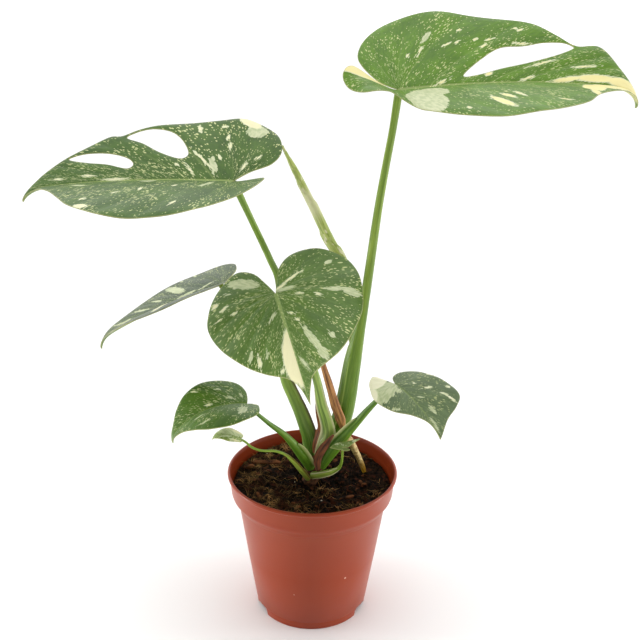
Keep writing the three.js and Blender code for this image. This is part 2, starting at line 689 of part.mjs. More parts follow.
let taken = null;
let ground = soil();
for (const spec of STALKS) {
  let solid = stalkBody(spec, 0);
  if (taken) solid = solid.subtract(taken);
  if (spec.blade) solid = seatedUnder(LEAVES[spec.blade], solid, spec.runsOn);
  solid = mainPiece(solid);
  const grown = stalkBody(spec, SEAT);
  taken = taken ? taken.add(grown) : grown;
  ground = ground.subtract(grown);
  plant.add(toMesh(spec.name, solid, spec.slot));
}
for (const [name, leaf] of Object.entries(LEAVES)) {
  plant.add(toMesh(`leaf_${name}`, blade(leaf), "blade"));
}
plant.add(toMesh("soil", mainPiece(ground), "soil"));
plant.add(toMesh("pot", pot(), "pot"));

export default plant;
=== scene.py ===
import math
import random

import bmesh
import bpy
import numpy as np
from mathutils import Matrix, Vector, geometry, noise


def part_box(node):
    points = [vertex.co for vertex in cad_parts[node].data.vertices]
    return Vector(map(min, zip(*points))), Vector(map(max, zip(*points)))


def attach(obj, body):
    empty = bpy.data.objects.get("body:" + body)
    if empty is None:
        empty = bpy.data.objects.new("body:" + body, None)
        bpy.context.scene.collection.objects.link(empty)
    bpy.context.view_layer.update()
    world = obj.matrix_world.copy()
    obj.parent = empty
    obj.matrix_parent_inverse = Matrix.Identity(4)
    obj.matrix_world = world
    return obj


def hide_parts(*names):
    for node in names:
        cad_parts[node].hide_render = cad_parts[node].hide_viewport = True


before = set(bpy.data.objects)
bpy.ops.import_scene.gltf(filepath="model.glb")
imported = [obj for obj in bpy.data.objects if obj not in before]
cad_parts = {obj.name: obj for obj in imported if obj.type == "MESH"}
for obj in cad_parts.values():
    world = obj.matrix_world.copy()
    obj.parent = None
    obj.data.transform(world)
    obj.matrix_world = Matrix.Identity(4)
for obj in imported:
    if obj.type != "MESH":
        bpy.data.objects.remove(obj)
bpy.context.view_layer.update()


# Pot.
# A grower's pot moulded in one thin wall of terracotta-coloured plastic: a tapering cup under
# a straight collar, a rolled lip, eight drain holes, and a foot ring with four water windows.
MM = 0.001
pot_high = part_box("pot")[1]
RIM_RADIUS = pot_high[0] / MM
POT_HEIGHT = pot_high[2] / MM
COLLAR_RADIUS = RIM_RADIUS - 2.6
COLLAR_FOOT = 91
TAPER_TOP = 84.9
TAPER_TOP_RADIUS = 52.8
BASE_RADIUS = 40
POT_WALL = 1.5
FOOT_RING_INNER = BASE_RADIUS - 3
CHANNEL_RADIUS = 24
CHANNEL_HEIGHT = 5.5
FLOOR_TOP = CHANNEL_HEIGHT + 1.6
FLOOR_THICKNESS = 1.6
BEAD_HEIGHT = 5.6
POT_SIDES = 224
DRAIN_HOLES = 8
DRAIN_RADIUS = 3.6
DRILL_SIDES = 20
WINDOW_ANGLES = (-154, -26, 26, 154)
WINDOW_ALONG = (-8.4, -8, -4.5, 4, 7, 8.4)
WINDOW_HEIGHTS = (0, 0.8, 2.8, 4.7, 4.9, 0)
taper_slope = (TAPER_TOP_RADIUS - BASE_RADIUS) / TAPER_TOP


def paint(red, green, blue):
    """A colour as seen on a screen, 0 to 255, as the linear colour that Blender mixes."""
    shares = (red / 255, green / 255, blue / 255)
    linear = [s / 12.92 if s <= 0.04045 else ((s + 0.055) / 1.055) ** 2.4 for s in shares]
    return (*linear, 1.0)


class Finish:
    """A finish built up from Blender's nodes, ending in one surface shader."""

    def __init__(self, name, **surface):
        self.material = bpy.data.materials.new(name)
        self.material.use_nodes = True
        self.tree = self.material.node_tree
        self.surface = self.tree.nodes["Principled BSDF"]
        for socket, value in surface.items():
            self.feed(self.surface.inputs[socket.replace("_", " ")], value)

    def feed(self, socket, value):
        if isinstance(value, bpy.types.NodeSocket):
            self.tree.links.new(value, socket)
        else:
            socket.default_value = value

    def add(self, kind, settings=None, **inputs):
        node = self.tree.nodes.new("ShaderNode" + kind)
        for key, value in (settings or {}).items():
            setattr(node, key, value)
        for key, value in inputs.items():
            self.feed(node.inputs[key], value)
        return node

    def place(self):
        """The point's place on the piece, in metres."""
        return self.add("TexCoord").outputs["Object"]

    def stored(self, label):
        """A vector kept on the mesh under that label."""
        return self.add("Attribute", {"attribute_name": label}).outputs["Vector"]

    def parts(self, label):
        """The three numbers of a vector kept on the mesh."""
        return self.add("SeparateXYZ", Vector=self.stored(label)).outputs

    def calc(self, how, first, second):
        """One step of arithmetic on single values."""
        node = self.add("Math", {"operation": how})
        self.feed(node.inputs[0], first)
        self.feed(node.inputs[1], second)
        return node.outputs[0]

    def plus(self, first, second):
        return self.calc("ADD", first, second)

    def less(self, first, second):
        return self.calc("SUBTRACT", first, second)

    def times(self, first, second):
        return self.calc("MULTIPLY", first, second)

    def ease(self, value, low, high, start=0.0, end=1.0):
        """start below low, end above high, and an even slope between."""
        node = self.add("MapRange")
        for socket, given in zip(node.inputs, (value, low, high, start, end)):
            self.feed(socket, given)
        return node.outputs[0]

    def blend(self, share, first, second):
        """From the first colour to the second, by share."""
        node = self.add("Mix", {"data_type": "RGBA"})
        self.feed(node.inputs[0], share)
        self.feed(node.inputs[6], first)
        self.feed(node.inputs[7], second)
        return node.outputs[2]

    def scaled(self, vector, scale):
        node = self.add("VectorMath", {"operation": "MULTIPLY"})
        self.feed(node.inputs[0], vector)
        self.feed(node.inputs[1], scale)
        return node.outputs[0]

    def cloud(self, vector, scale=1.0, detail=3.0, flat=False):
        """A soft random value about 0.5."""
        settings = {"noise_dimensions": "2D" if flat else "3D"}
        return self.add("TexNoise", settings, Vector=vector, Scale=scale, Detail=detail).outputs[0]

    def colour(self, value):
        self.feed(self.surface.inputs["Base Color"], value)

    def relief(self, height, depth):
        """Raises the surface in the light by height times depth, in millimetres."""
        node = self.add("Bump", Strength=1.0, Distance=depth * MM, Height=height)
        self.feed(self.surface.inputs["Normal"], node.outputs[0])


def make_piece(name, points, faces, finish, crease=50):
    """A piece from points in millimetres on the plant's own frame, smooth but for its creases."""
    mesh = bpy.data.meshes.new(name)
    mesh.from_pydata([tuple(point) for point in np.asarray(points) * MM], [], faces)
    mesh.validate()
    shell = bmesh.new()
    shell.from_mesh(mesh)
    bmesh.ops.recalc_face_normals(shell, faces=shell.faces)
    shell.to_mesh(mesh)
    shell.free()
    mesh.polygons.foreach_set("use_smooth", [True] * len(mesh.polygons))
    mesh.set_sharp_from_angle(angle=math.radians(crease))
    mesh.materials.append(finish.material)
    piece = bpy.data.objects.new(name, mesh)
    bpy.context.scene.collection.objects.link(piece)
    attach(piece, "root")
    return piece


def turned(profile, sides, lift=lambda x, y, z: 0):
    """A body turned about the pot's axis. The profile runs from the axis, outside, to the axis."""
    points, faces, rings = [], [], []
    for radius, z in profile:
        places = [(0, 0)] if radius == 0 else [
            (radius * math.cos(2 * math.pi * i / sides), radius * math.sin(2 * math.pi * i / sides))
            for i in range(sides)
        ]
        rings.append([len(points) + i for i in range(len(places))])
        points += [(x, y, z + lift(x, y, z)) for x, y in places]
    for low, high in zip(rings, rings[1:]):
        for i in range(sides):
            j = (i + 1) % sides
            if len(low) == 1:
                faces.append((low[0], high[j], high[i]))
            elif len(high) == 1:
                faces.append((low[i], low[j], high[0]))
            else:
                faces.append((low[i], low[j], high[j], high[i]))
    return points, faces


def inner_taper(z):
    return BASE_RADIUS - POT_WALL + taper_slope * z


def rolled(centre_radius, centre_height, radius, start, end, steps=6):
    """A short arc of the profile, for a rounded edge."""
    angles = np.radians(np.linspace(start, end, steps))
    return [(centre_radius + radius * math.cos(a), centre_height + radius * math.sin(a)) for a in angles]


bead_radius = BASE_RADIUS + taper_slope * BEAD_HEIGHT
pot_profile = [
    (0, 0),
    (CHANNEL_RADIUS, 0),
    (CHANNEL_RADIUS + 1.5, CHANNEL_HEIGHT),
    (FOOT_RING_INNER, CHANNEL_HEIGHT),
    (FOOT_RING_INNER, 0),
    *rolled(BASE_RADIUS - 0.5, 0.5, 0.5, -90, 0, 3),
    (bead_radius - 0.45, BEAD_HEIGHT - 0.2),
    (bead_radius - 0.35, BEAD_HEIGHT + 0.1),
    (bead_radius, BEAD_HEIGHT + 0.5),
    (BASE_RADIUS + taper_slope * 45, 45),
    (TAPER_TOP_RADIUS - 0.3, TAPER_TOP - 0.6),
    (TAPER_TOP_RADIUS + 0.1, TAPER_TOP),
    (COLLAR_RADIUS - 1.4, COLLAR_FOOT - 1.2),
    (COLLAR_RADIUS - 0.5, COLLAR_FOOT - 0.1),
    (COLLAR_RADIUS, COLLAR_FOOT + 1.5),
    (COLLAR_RADIUS + 1.1, POT_HEIGHT - 3.6),
    *rolled(RIM_RADIUS - 1.4, POT_HEIGHT - 1.4, 1.4, -75, 100, 10),
    (RIM_RADIUS - 2.2, POT_HEIGHT - 0.9),
    (COLLAR_RADIUS - POT_WALL + 1.2, POT_HEIGHT - 3.2),
    (COLLAR_RADIUS - POT_WALL, COLLAR_FOOT + 1.5),
    (TAPER_TOP_RADIUS - POT_WALL, TAPER_TOP),
    (inner_taper(FLOOR_TOP), FLOOR_TOP),
    (CHANNEL_RADIUS, FLOOR_TOP),
    (CHANNEL_RADIUS - 1.5, FLOOR_THICKNESS),
    (0, FLOOR_THICKNESS),
]


def window_lift(x, y, z):
    """Raises the underside of the foot ring over the four water windows."""
    if z > 0.5 or math.hypot(x, y) < FOOT_RING_INNER - 1:
        return 0
    for angle in WINDOW_ANGLES:
        tall_end = math.copysign(1, math.sin(2 * math.radians(angle)))
        away = (math.atan2(y, x) - math.radians(angle) + math.pi) % (2 * math.pi) - math.pi
        along = away * BASE_RADIUS * tall_end
        height = np.interp(along, WINDOW_ALONG, WINDOW_HEIGHTS)
        if height > 0:
            return height
    return 0


pot_points, pot_faces = turned(pot_profile, POT_SIDES, window_lift)

terracotta = Finish("terracotta_plastic", Roughness=0.34, Specular_IOR_Level=0.3)
pot_place = terracotta.place()
bloom = terracotta.cloud(pot_place, 26, 4)
specks = terracotta.add("TexVoronoi", Vector=pot_place, Scale=170)
speck_pick = terracotta.add("SeparateColor", Color=specks.outputs["Color"]).outputs[0]
speck_size = terracotta.times(terracotta.ease(speck_pick, 0.955, 1.0), 0.16)
speck = terracotta.ease(terracotta.less(speck_size, specks.outputs["Distance"]), 0.0, 0.03)
body = terracotta.blend(bloom, paint(138, 49, 16), paint(147, 55, 20))
terracotta.colour(terracotta.blend(speck, body, paint(214, 170, 148)))
terracotta.relief(terracotta.cloud(pot_place, 900, 2), 0.02)

pot = make_piece("pot_shell", pot_points, pot_faces, terracotta, crease=35)
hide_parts("pot")

# the drain holes are drilled through the floor, outside the channel
drill_points, drill_faces = [], []
drain_centre = (CHANNEL_RADIUS + 1.5 + FOOT_RING_INNER) / 2
for hole in range(DRAIN_HOLES):
    turn = 2 * math.pi * (hole + 0.5) / DRAIN_HOLES
    first = len(drill_points)
    for z in (CHANNEL_HEIGHT - 1, FLOOR_TOP + 1):
        for i in range(DRILL_SIDES):
            a = 2 * math.pi * i / DRILL_SIDES
            drill_points.append((
                drain_centre * math.cos(turn) + DRAIN_RADIUS * math.cos(a),
                drain_centre * math.sin(turn) + DRAIN_RADIUS * math.sin(a),
                z,
            ))
    low_ring = [first + i for i in range(DRILL_SIDES)]
    high_ring = [i + DRILL_SIDES for i in low_ring]
    drill_faces += [low_ring[::-1], high_ring]
    for i in range(DRILL_SIDES):
        j = (i + 1) % DRILL_SIDES
        drill_faces.append([low_ring[i], low_ring[j], high_ring[j], high_ring[i]])
drill_mesh = bpy.data.meshes.new("drills")
drill_mesh.from_pydata([tuple(p) for p in np.array(drill_points) * MM], [], drill_faces)
drills = bpy.data.objects.new("drills", drill_mesh)
bpy.context.scene.collection.objects.link(drills)
cut = pot.modifiers.new("drain_holes", "BOOLEAN")
cut.operation = "DIFFERENCE"
cut.object = drills
cut.solver = "EXACT"
drilled = bpy.data.meshes.new_from_object(pot.evaluated_get(bpy.context.evaluated_depsgraph_get()))
pot.modifiers.clear()
pot.data = drilled
bpy.data.objects.remove(drills)


# Soil.
# A damp mix of dark peat and coconut fibre, pressed in by hand: a cloddy top a little under
# the rim and higher at the back, with loose fibres, chips of bark and grains of perlite.
SOIL_TOP = 98
SOIL_STEP = 1.0
SOIL_SIDES = 260
SOIL_RISE_RIGHT = -0.022
SOIL_RISE_BACK = 0.03
RIM_BAND = 5
FIBRE_TRIES = 3200
FIBRE_JOINTS = 8
TUFT_SIZE = 13
CHIP_COUNT = 40
PERLITE_COUNT = 8
LOOSE = random.Random(41)
inside = COLLAR_RADIUS - POT_WALL


def soil_lift(x, y, z=SOIL_TOP):
    """The soil's top over its mean height: a slope, clods and crumbs, calmer along the rim."""
    if z < SOIL_TOP - 5:
        return 0
    place = Vector((x, y, 3.0))
    slope = SOIL_RISE_RIGHT * x + SOIL_RISE_BACK * y
    clods = 2.1 * noise.noise(place / 11) + 1.5 * noise.noise(place / 5.2 + Vector((7, 1, 2)))
    crumbs = 1.3 * noise.noise(place / 2.3) + 0.8 * noise.noise(place / 1.2)
    rim_fade = min(1.0, max(0.0, (inside - math.hypot(x, y)) / RIM_BAND))
    return slope + (clods + crumbs) * (0.35 + 0.65 * rim_fade)


soil_profile = [
    (0, FLOOR_THICKNESS + 0.3),
    (CHANNEL_RADIUS - 2.1, FLOOR_THICKNESS + 0.3),
    (CHANNEL_RADIUS - 0.6, FLOOR_TOP + 0.3),
    (inner_taper(FLOOR_TOP) - 0.4, FLOOR_TOP + 0.3),
    (TAPER_TOP_RADIUS - POT_WALL - 0.3, TAPER_TOP),
    (inside - 0.3, COLLAR_FOOT + 1.5),
    (inside - 0.2, SOIL_TOP - 3),
    (inside - 0.7, SOIL_TOP - 1.2),
    (inside - 1.8, SOIL_TOP - 0.3),
    *[(radius, SOIL_TOP) for radius in np.arange(inside - 3, SOIL_STEP, -SOIL_STEP)],
    (0, SOIL_TOP),
]
soil_points, soil_faces = turned(soil_profile, SOIL_SIDES, soil_lift)

peat = Finish("damp_peat", Roughness=0.9, Specular_IOR_Level=0.08)
peat_place = peat.place()
peat_tone = peat.ease(peat.cloud(peat_place, 420, 6), 0.42, 0.68)
# painted shade under the plant: the peat is darker towards the pot's middle and lighter out to the rim
peat_reach = peat.add("VectorMath", {"operation": "LENGTH"})
peat.feed(peat_reach.inputs[0], peat.scaled(peat_place, (1, 1, 0)))
peat_painted_shade = peat.ease(peat_reach.outputs["Value"], 0.012, 0.05, 0.2, 1.1)
peat_dark = peat.blend(peat.times(peat_tone, peat_painted_shade), paint(4, 3, 2), paint(50, 32, 18))
peat_fibre = peat.ease(peat.cloud(peat.scaled(peat_place, (2400, 500, 900)), 1, 3), 0.62, 0.7)
peat_clump = peat.ease(peat.cloud(peat_place, 60, 2), 0.45, 0.62, 0.25, 1.0)
peat_straw = peat.blend(peat.times(peat_fibre, peat_clump), peat_dark, paint(126, 84, 48))
peat_red = peat.ease(peat.cloud(peat.scaled(peat_place, (1, 1, 3)), 190, 4), 0.54, 0.66, 0.0, 0.75)
peat.colour(peat.blend(peat_red, peat_straw, paint(74, 36, 20)))
peat.relief(peat.cloud(peat_place, 1300, 5), 1.3)
soil = make_piece("soil_top", soil_points, soil_faces, peat, crease=180)
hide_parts("soil")


def strand(points, faces, line, radius, sides=5):
    """Adds a thin fibre along a line, tapered to both ends."""
    first = len(points)
    line = [Vector(p) for p in line]
    for i, centre in enumerate(line):
        ahead = (line[min(i + 1, len(line) - 1)] - line[max(i - 1, 0)]).normalized()
        across = ahead.cross(Vector((0.2, 0.1, 1))).normalized()
        upward = across.cross(ahead)
        width = radius * (0.35 + 0.65 * math.sin(math.pi * (i + 0.5) / len(line)))
        for k in range(sides):
            a = 2 * math.pi * k / sides
            points.append(centre + across * width * math.cos(a) + upward * width * math.sin(a))
    for i in range(len(line) - 1):
        for k in range(sides):
            a, b = first + i * sides + k, first + i * sides + (k + 1) % sides
            faces.append((a, b, b + sides, a + sides))
    faces.append([first + k for k in range(sides)])
    faces.append([first + (len(line) - 1) * sides + k for k in range(sides - 1, -1, -1)])


def resting_place(reach=inside - 4):
    """Somewhere on the soil, within that reach of the pot's axis."""
    radius, angle = reach * math.sqrt(LOOSE.random()), LOOSE.uniform(0, 2 * math.pi)
    return radius * math.cos(angle), radius * math.sin(angle)


def crowded(x, y):
    """How thickly fibres lie there: in tufts, and more towards the rim and to the left."""
    tufts = noise.noise(Vector((x, y, 40)) / TUFT_SIZE)
    by_rim = 0.7 * (math.hypot(x, y) / inside) ** 4
    return tufts + by_rim - 0.008 * x - 0.1


fibre_points, fibre_faces = [], []
for _ in range(FIBRE_TRIES):
    x, y = resting_place(inside - 6)
    if crowded(x, y) < LOOSE.uniform(-0.1, 0.5):
        continue
    heading, length = LOOSE.uniform(0, math.pi), LOOSE.uniform(2, 11)
    bend, rise = LOOSE.uniform(-0.07, 0.07), LOOSE.uniform(0.1, 1.8)
    line = []
    for i in range(FIBRE_JOINTS):
        share = i / (FIBRE_JOINTS - 1)
        line.append((x, y, SOIL_TOP + soil_lift(x, y) + 0.25 + rise * math.sin(math.pi * share)))
        heading += bend * length / (FIBRE_JOINTS - 1)
        x += math.cos(heading) * length / (FIBRE_JOINTS - 1)
        y += math.sin(heading) * length / (FIBRE_JOINTS - 1)
    strand(fibre_points, fibre_faces, line, LOOSE.uniform(0.05, 0.15))

coir = Finish("coconut_fibre", Roughness=0.8, Specular_IOR_Level=0.15)
coir_tone = coir.cloud(coir.place(), 120, 3)
coir_brown = coir.blend(coir.ease(coir_tone, 0.4, 0.52), paint(80, 40, 22), paint(116, 94, 54))
coir.colour(coir.blend(coir.ease(coir_tone, 0.5, 0.66), coir_brown, paint(204, 154, 98)))
make_piece("soil_fibres", fibre_points, fibre_faces, coir, crease=180)


def crumb(points, faces, centre, size, turn, rough):
    """Adds a small broken lump: a rounded block with its corners moved about."""
    ball = bmesh.new()
    bmesh.ops.create_icosphere(ball, subdivisions=2, radius=1)
    swing = Matrix.Rotation(turn, 3, "Z") @ Matrix.Rotation(LOOSE.uniform(-0.4, 0.4), 3, "X")
    seed = Vector((LOOSE.uniform(0, 90), LOOSE.uniform(0, 90), 0))
    first = len(points)
    for vertex in ball.verts:
        knock = 1 + rough * noise.noise(vertex.co * 1.6 + seed)
        block = Vector([math.copysign(abs(c) ** 0.6, c) * s for c, s in zip(vertex.co, size)])
        points.append(Vector(centre) + swing @ (block * knock))
    faces += [[first + v.index for v in face.verts] for face in ball.faces]
    ball.free()


bark_points, bark_faces = [], []
for _ in range(CHIP_COUNT):
    x, y = resting_place()
    long = LOOSE.uniform(0.8, 2.2)
    lump = (long, long * LOOSE.uniform(0.3, 0.7), LOOSE.uniform(0.5, 1.3))
    height = SOIL_TOP + soil_lift(x, y) + 0.2
    crumb(bark_points, bark_faces, (x, y, height), lump, LOOSE.uniform(0, 3.1), 1.0)
# three long strips of bark: place, half length, half width and turn
for x, y, long, wide, turn in ((-34, 20, 11, 1.8, 0), (-46, 14, 4, 1.6, 0.4), (24, -22, 6, 1.2, 0.5)):
    centre = (x, y, SOIL_TOP + soil_lift(x, y) + 0.9)
    crumb(bark_points, bark_faces, centre, (long, wide, 1.0), turn, 0.25)

bark = Finish("bark_chips", Roughness=0.85, Specular_IOR_Level=0.1)
bark_place = bark.place()
bark_tone = bark.ease(bark.cloud(bark_place, 160, 4), 0.36, 0.64)
bark.colour(bark.blend(bark_tone, paint(20, 11, 6), paint(130, 80, 49)))
bark.relief(bark.cloud(bark.scaled(bark_place, (900, 3600, 1800)), 1, 4), 0.5)
make_piece("soil_bark", bark_points, bark_faces, bark, crease=60)

perlite_points, perlite_faces = [], []
for _ in range(PERLITE_COUNT):
    x, y = resting_place()
    size = LOOSE.uniform(0.25, 0.55)
    height = SOIL_TOP + soil_lift(x, y) + 0.3
    crumb(perlite_points, perlite_faces, (x, y, height), (size, size * 0.8, size * 0.7), 1.0, 0.5)
perlite = Finish("perlite", Roughness=0.9)
perlite_pores = perlite.cloud(perlite.place(), 2600, 3)
perlite_tone = perlite.ease(perlite_pores, 0.4, 0.6)
perlite.colour(perlite.blend(perlite_tone, paint(186, 174, 156), paint(226, 219, 206)))
perlite.relief(perlite_pores, 0.2)
make_piece("soil_perlite", perlite_points, perlite_faces, perlite, crease=60)


# Stem.
# The short woody crown that every stalk grows from, brown and knobbly, ringed with the scars
# of old leaves. It stands in the soil.
def smooth_run(stations, count):
    """Points and directions along a smooth line through the stations, with their half sizes."""
    marks = np.array([station[:3] for station in stations], float)
    halves = np.array([station[3:5] for station in stations], float)
    ends = np.vstack([2 * marks[0] - marks[1], marks, 2 * marks[-1] - marks[-2]])
    spans = np.sqrt(np.linalg.norm(np.diff(ends, axis=0), axis=1))
    places, headings, sizes = [], [], []
    for place in np.linspace(0, len(marks) - 1, count):
        k = min(int(place), len(marks) - 2)
        w = place - k
        p0, p1, p2, p3 = ends[k:k + 4]
        d0, d1, d2 = spans[k:k + 3]
        t1 = ((p1 - p0) / d0 - (p2 - p0) / (d0 + d1) + (p2 - p1) / d1) * d1
        t2 = ((p2 - p1) / d1 - (p3 - p1) / (d1 + d2) + (p3 - p2) / d2) * d1
        c2, c3 = -3 * p1 + 3 * p2 - 2 * t1 - t2, 2 * p1 - 2 * p2 + t1 + t2
        places.append(p1 + t1 * w + c2 * w * w + c3 * w ** 3)
        headings.append(t1 + 2 * c2 * w + 3 * c3 * w * w)
        sizes.append(halves[k] * (1 - w) + halves[k + 1] * w)
    headings = np.array(headings)
    headings /= np.linalg.norm(headings, axis=1)[:, None]
    return np.array(places), headings, np.array(sizes)


class Stalk:
    """A tapering stalk along a run of stations [x, y, z, half width, half depth].

    Its width lies along "across". Angles round it, as across usually lies: 0 right, 90 back,
    180 left, 270 front. Its finish reads "grain", the place on the stalk laid out straight, and
    "zone": the share of its height, how near a fin's edge, and how dry.
    """

    def __init__(self, stations, rings, sides, across=(1, 0, 0)):
        self.places, headings, self.halves = smooth_run(stations, rings)
        self.rings, self.sides = rings, sides
        self.depth_axis = np.cross(headings, np.array(across, float))
        self.depth_axis /= np.linalg.norm(self.depth_axis, axis=1)[:, None]
        self.width_axis = np.cross(self.depth_axis, headings)
        steps = np.linalg.norm(np.diff(self.places, axis=0), axis=1)
        self.along = np.concatenate([[0], np.cumsum(steps)])
        self.points, self.faces = [], []
        self.grain, self.zone = [], []

    def place(self, ring, angle, out=1.0):
        """A point at that angle, out times the stalk's own size from its centre."""
        width, depth = self.halves[ring] * out
        return (
            self.places[ring]
            + self.width_axis[ring] * width * math.cos(angle)
            + self.depth_axis[ring] * depth * math.sin(angle)
        )

    def add_point(self, point, ring, angle, fin, dry=0.0):
        size = self.halves[ring].mean()
        self.points.append(point)
        self.grain.append((size * math.cos(angle), size * math.sin(angle), self.along[ring]))
        self.zone.append((ring / (self.rings - 1), fin, dry))

    def body(self, shape=lambda ring, angle: 1.0):
        """The stalk itself. shape swells or hollows it by ring share and angle."""
        for ring in range(self.rings):
            for i in range(self.sides):
                angle = 2 * math.pi * i / self.sides
                out = shape(ring / (self.rings - 1), angle)
                self.add_point(self.place(ring, angle, out), ring, angle, 0)
        for ring in range(self.rings - 1):
            for i in range(self.sides):
                a, b = ring * self.sides + i, ring * self.sides + (i + 1) % self.sides
                self.faces.append((a, b, b + self.sides, a + self.sides))
        last = (self.rings - 1) * self.sides
        self.faces.append([i for i in range(self.sides - 1, -1, -1)])
        self.faces.append([last + i for i in range(self.sides)])
        return self

    def fin(self, start, end, degrees, reach, lean=0.0, root=0.28, wave=0.0, dry=0.0, crest=0.43):
        """A thin wing along the stalk, the edge of a leaf sheath, green or dry.

        It runs from the start share to the end share and stands out by its reach at the crest.
        """
        first, count = len(self.points), 0
        angle = math.radians(degrees)
        for ring in range(int(start * self.rings), int(end * self.rings)):
            share = (ring - start * self.rings) / ((end - start) * self.rings)
            stand = reach * math.sin(math.pi * np.interp(share, (0, crest, 1), (0.12, 0.5, 0.99))) ** 0.6
            stand *= 1 + wave * math.sin(17 * share)
            size = self.halves[ring].mean()
            tip_angle = angle + lean * stand / size
            tip = self.place(ring, tip_angle, 1 + stand / size)
            self.add_point(self.place(ring, angle - root, 0.93), ring, angle - root, 0.2, dry)
            self.add_point(tip, ring, tip_angle, 1, dry)
            self.add_point(self.place(ring, angle + root, 0.93), ring, angle + root, 0.2, dry)
            count += 1
        for ring in range(count - 1):
            for i in range(3):
                a, b = first + ring * 3 + i, first + ring * 3 + (i + 1) % 3
                self.faces.append((a, b, b + 3, a + 3))
        self.faces.append((first, first + 2, first + 1))
        last = first + (count - 1) * 3
        self.faces.append((last, last + 1, last + 2))
        return self

    def make(self, name, finish, slot, *nodes):
        piece = make_piece(name, self.points, self.faces, finish, crease=60)
        for label, values in (("grain", self.grain), ("zone", self.zone)):
            layer = piece.data.attributes.new(label, "FLOAT_VECTOR", "POINT")
            layer.data.foreach_set("vector", np.array(values, float).ravel())
        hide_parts(*nodes)
        return piece


def knobs(share, angle):
    """The crown's section: rings of old scars, and uneven lumps."""
    rings = 0.07 * math.sin(30 * share + 1.5 * math.sin(angle))
    lumps = 0.16 * noise.noise(Vector((2 * math.cos(angle), 2 * math.sin(angle), 7 * share)))
    return 1 + rings + lumps


wood = Finish("woody_stem", Roughness=0.85)
wood_grain = wood.stored("grain")
wood_tone = wood.ease(wood.cloud(wood_grain, 0.55, 5), 0.36, 0.66)
wood.colour(wood.blend(wood_tone, paint(52, 28, 12), paint(130, 84, 46)))
wood.relief(wood.cloud(wood_grain, 1.3, 5), 0.9)
stem_stations = [(-1, 0, 87, 5, 5), (-1, 0, 98, 6, 5.6), (1, 1, 108, 7, 6), (3, 2, 118, 6, 5.4)]
Stalk(stem_stations, 44, 40).body(knobs).make("stem_crown", wood, "stem", "stem")


# Leaf stalks.
# Eight solid green stalks, round above and clasping the stem with a thin-edged sheath below.
# Each grew out of the sheath of the one before it and ends under its own blade.
def stalk_finish(name, light, dark, base, edge, foot_top=0.42):
    """Fine lines along the stalk, paler towards its foot, with its own colour on sheath edges."""
    finish = Finish(name, Roughness=0.4, Specular_IOR_Level=0.3)
    grain = finish.stored("grain")
    height, edge_share, dryness = finish.parts("zone")
    bands = finish.cloud(finish.scaled(grain, (0.42, 0.42, 0.012)), 1, 2)
    lines = finish.cloud(finish.scaled(grain, (2.6, 2.6, 0.05)), 1, 3)
    tone = finish.plus(finish.times(bands, 0.7), finish.times(lines, 0.3))
    green = finish.blend(finish.ease(tone, 0.4, 0.6), dark, light)
    foot = finish.ease(height, foot_top - 0.3, foot_top, 0.85, 0.0)
    aged = finish.blend(finish.times(foot, finish.ease(lines, 0.3, 0.55)), green, base)
    edged = finish.blend(finish.ease(edge_share, 0.4, 0.95), aged, edge)
    husky = finish.blend(finish.ease(lines, 0.35, 0.65), paint(56, 24, 6), paint(128, 74, 30))
    finish.colour(finish.blend(dryness, edged, husky))
    finish.relief(finish.plus(lines, bands), 0.18)
    return finish


def ribbed(count, depth, swell=0.0):
    """A stalk's section: shallow ribs, and a slight swelling at the joint under the blade."""
    def shape(share, angle):
        return 1 + depth * math.cos(count * angle) + swell * math.exp(-((share - 0.97) / 0.04) ** 2)
    return shape


upper_right_green = stalk_finish(
    "stalk_green_bright", paint(132, 156, 56), paint(98, 126, 36), paint(72, 108, 4),
    paint(134, 158, 70), foot_top=0.66)
upper_right_stalk = Stalk([
    (5, 4, 110, 5, 4.4), (14, 4, 128, 6.3, 5), (21, 4, 147, 6.5, 5), (23.5, 4, 161, 6.3, 4.8),
    (27, 4, 189, 5.6, 4.4), (30.5, 3.5, 212, 4, 3.6), (33.5, 3, 233, 3.2, 3), (40.5, 2, 297, 2.6, 2.5),
    (44.2, 1, 324, 2.4, 2.3), (47.3, 0.5, 345, 2.3, 2.2), (50, 0, 368.4, 2.3, 2.3),
], 150, 28)
upper_right_stalk.body(ribbed(9, 0.018, 0.08))
upper_right_stalk.fin(0.03, 0.42, 236, 0.45, lean=0.5, root=0.3)
upper_right_stalk.fin(0.03, 0.45, 172, 0.9, lean=-0.4, root=0.3)
upper_right_stalk.make("stalk_upper_right", upper_right_green, "petiole", "petiole_upper_right")

upper_left_green = stalk_finish(
    "stalk_green_deep", paint(132, 158, 64), paint(96, 126, 44), paint(54, 88, 18), paint(58, 26, 18))
upper_left_stalk = Stalk([
    (0, 1, 111, 4, 3.6), (-2, 1, 129, 4.8, 4), (-4.5, 1, 138, 4.8, 4), (-9.5, 2, 152, 4.3, 3.8),
    (-14, 3, 162, 3.9, 3.6), (-19.5, 5, 175, 3.4, 3.2), (-22, 9, 209, 2.7, 2.6), (-24, 11, 244, 2.4, 2.3),
    (-29.3, 5, 260, 2.2, 2.2), (-40.5, -12, 292, 2, 2), (-49.6, -19.4, 315.2, 2.1, 2.1),
], 150, 26)
upper_left_stalk.body(ribbed(8, 0.02, 0.08))
upper_left_stalk.fin(0.05, 0.5, 338, 3.6, lean=-0.3, root=0.5, crest=0.86)
upper_left_stalk.make("stalk_upper_left", upper_left_green, "petiole", "petiole_upper_left")

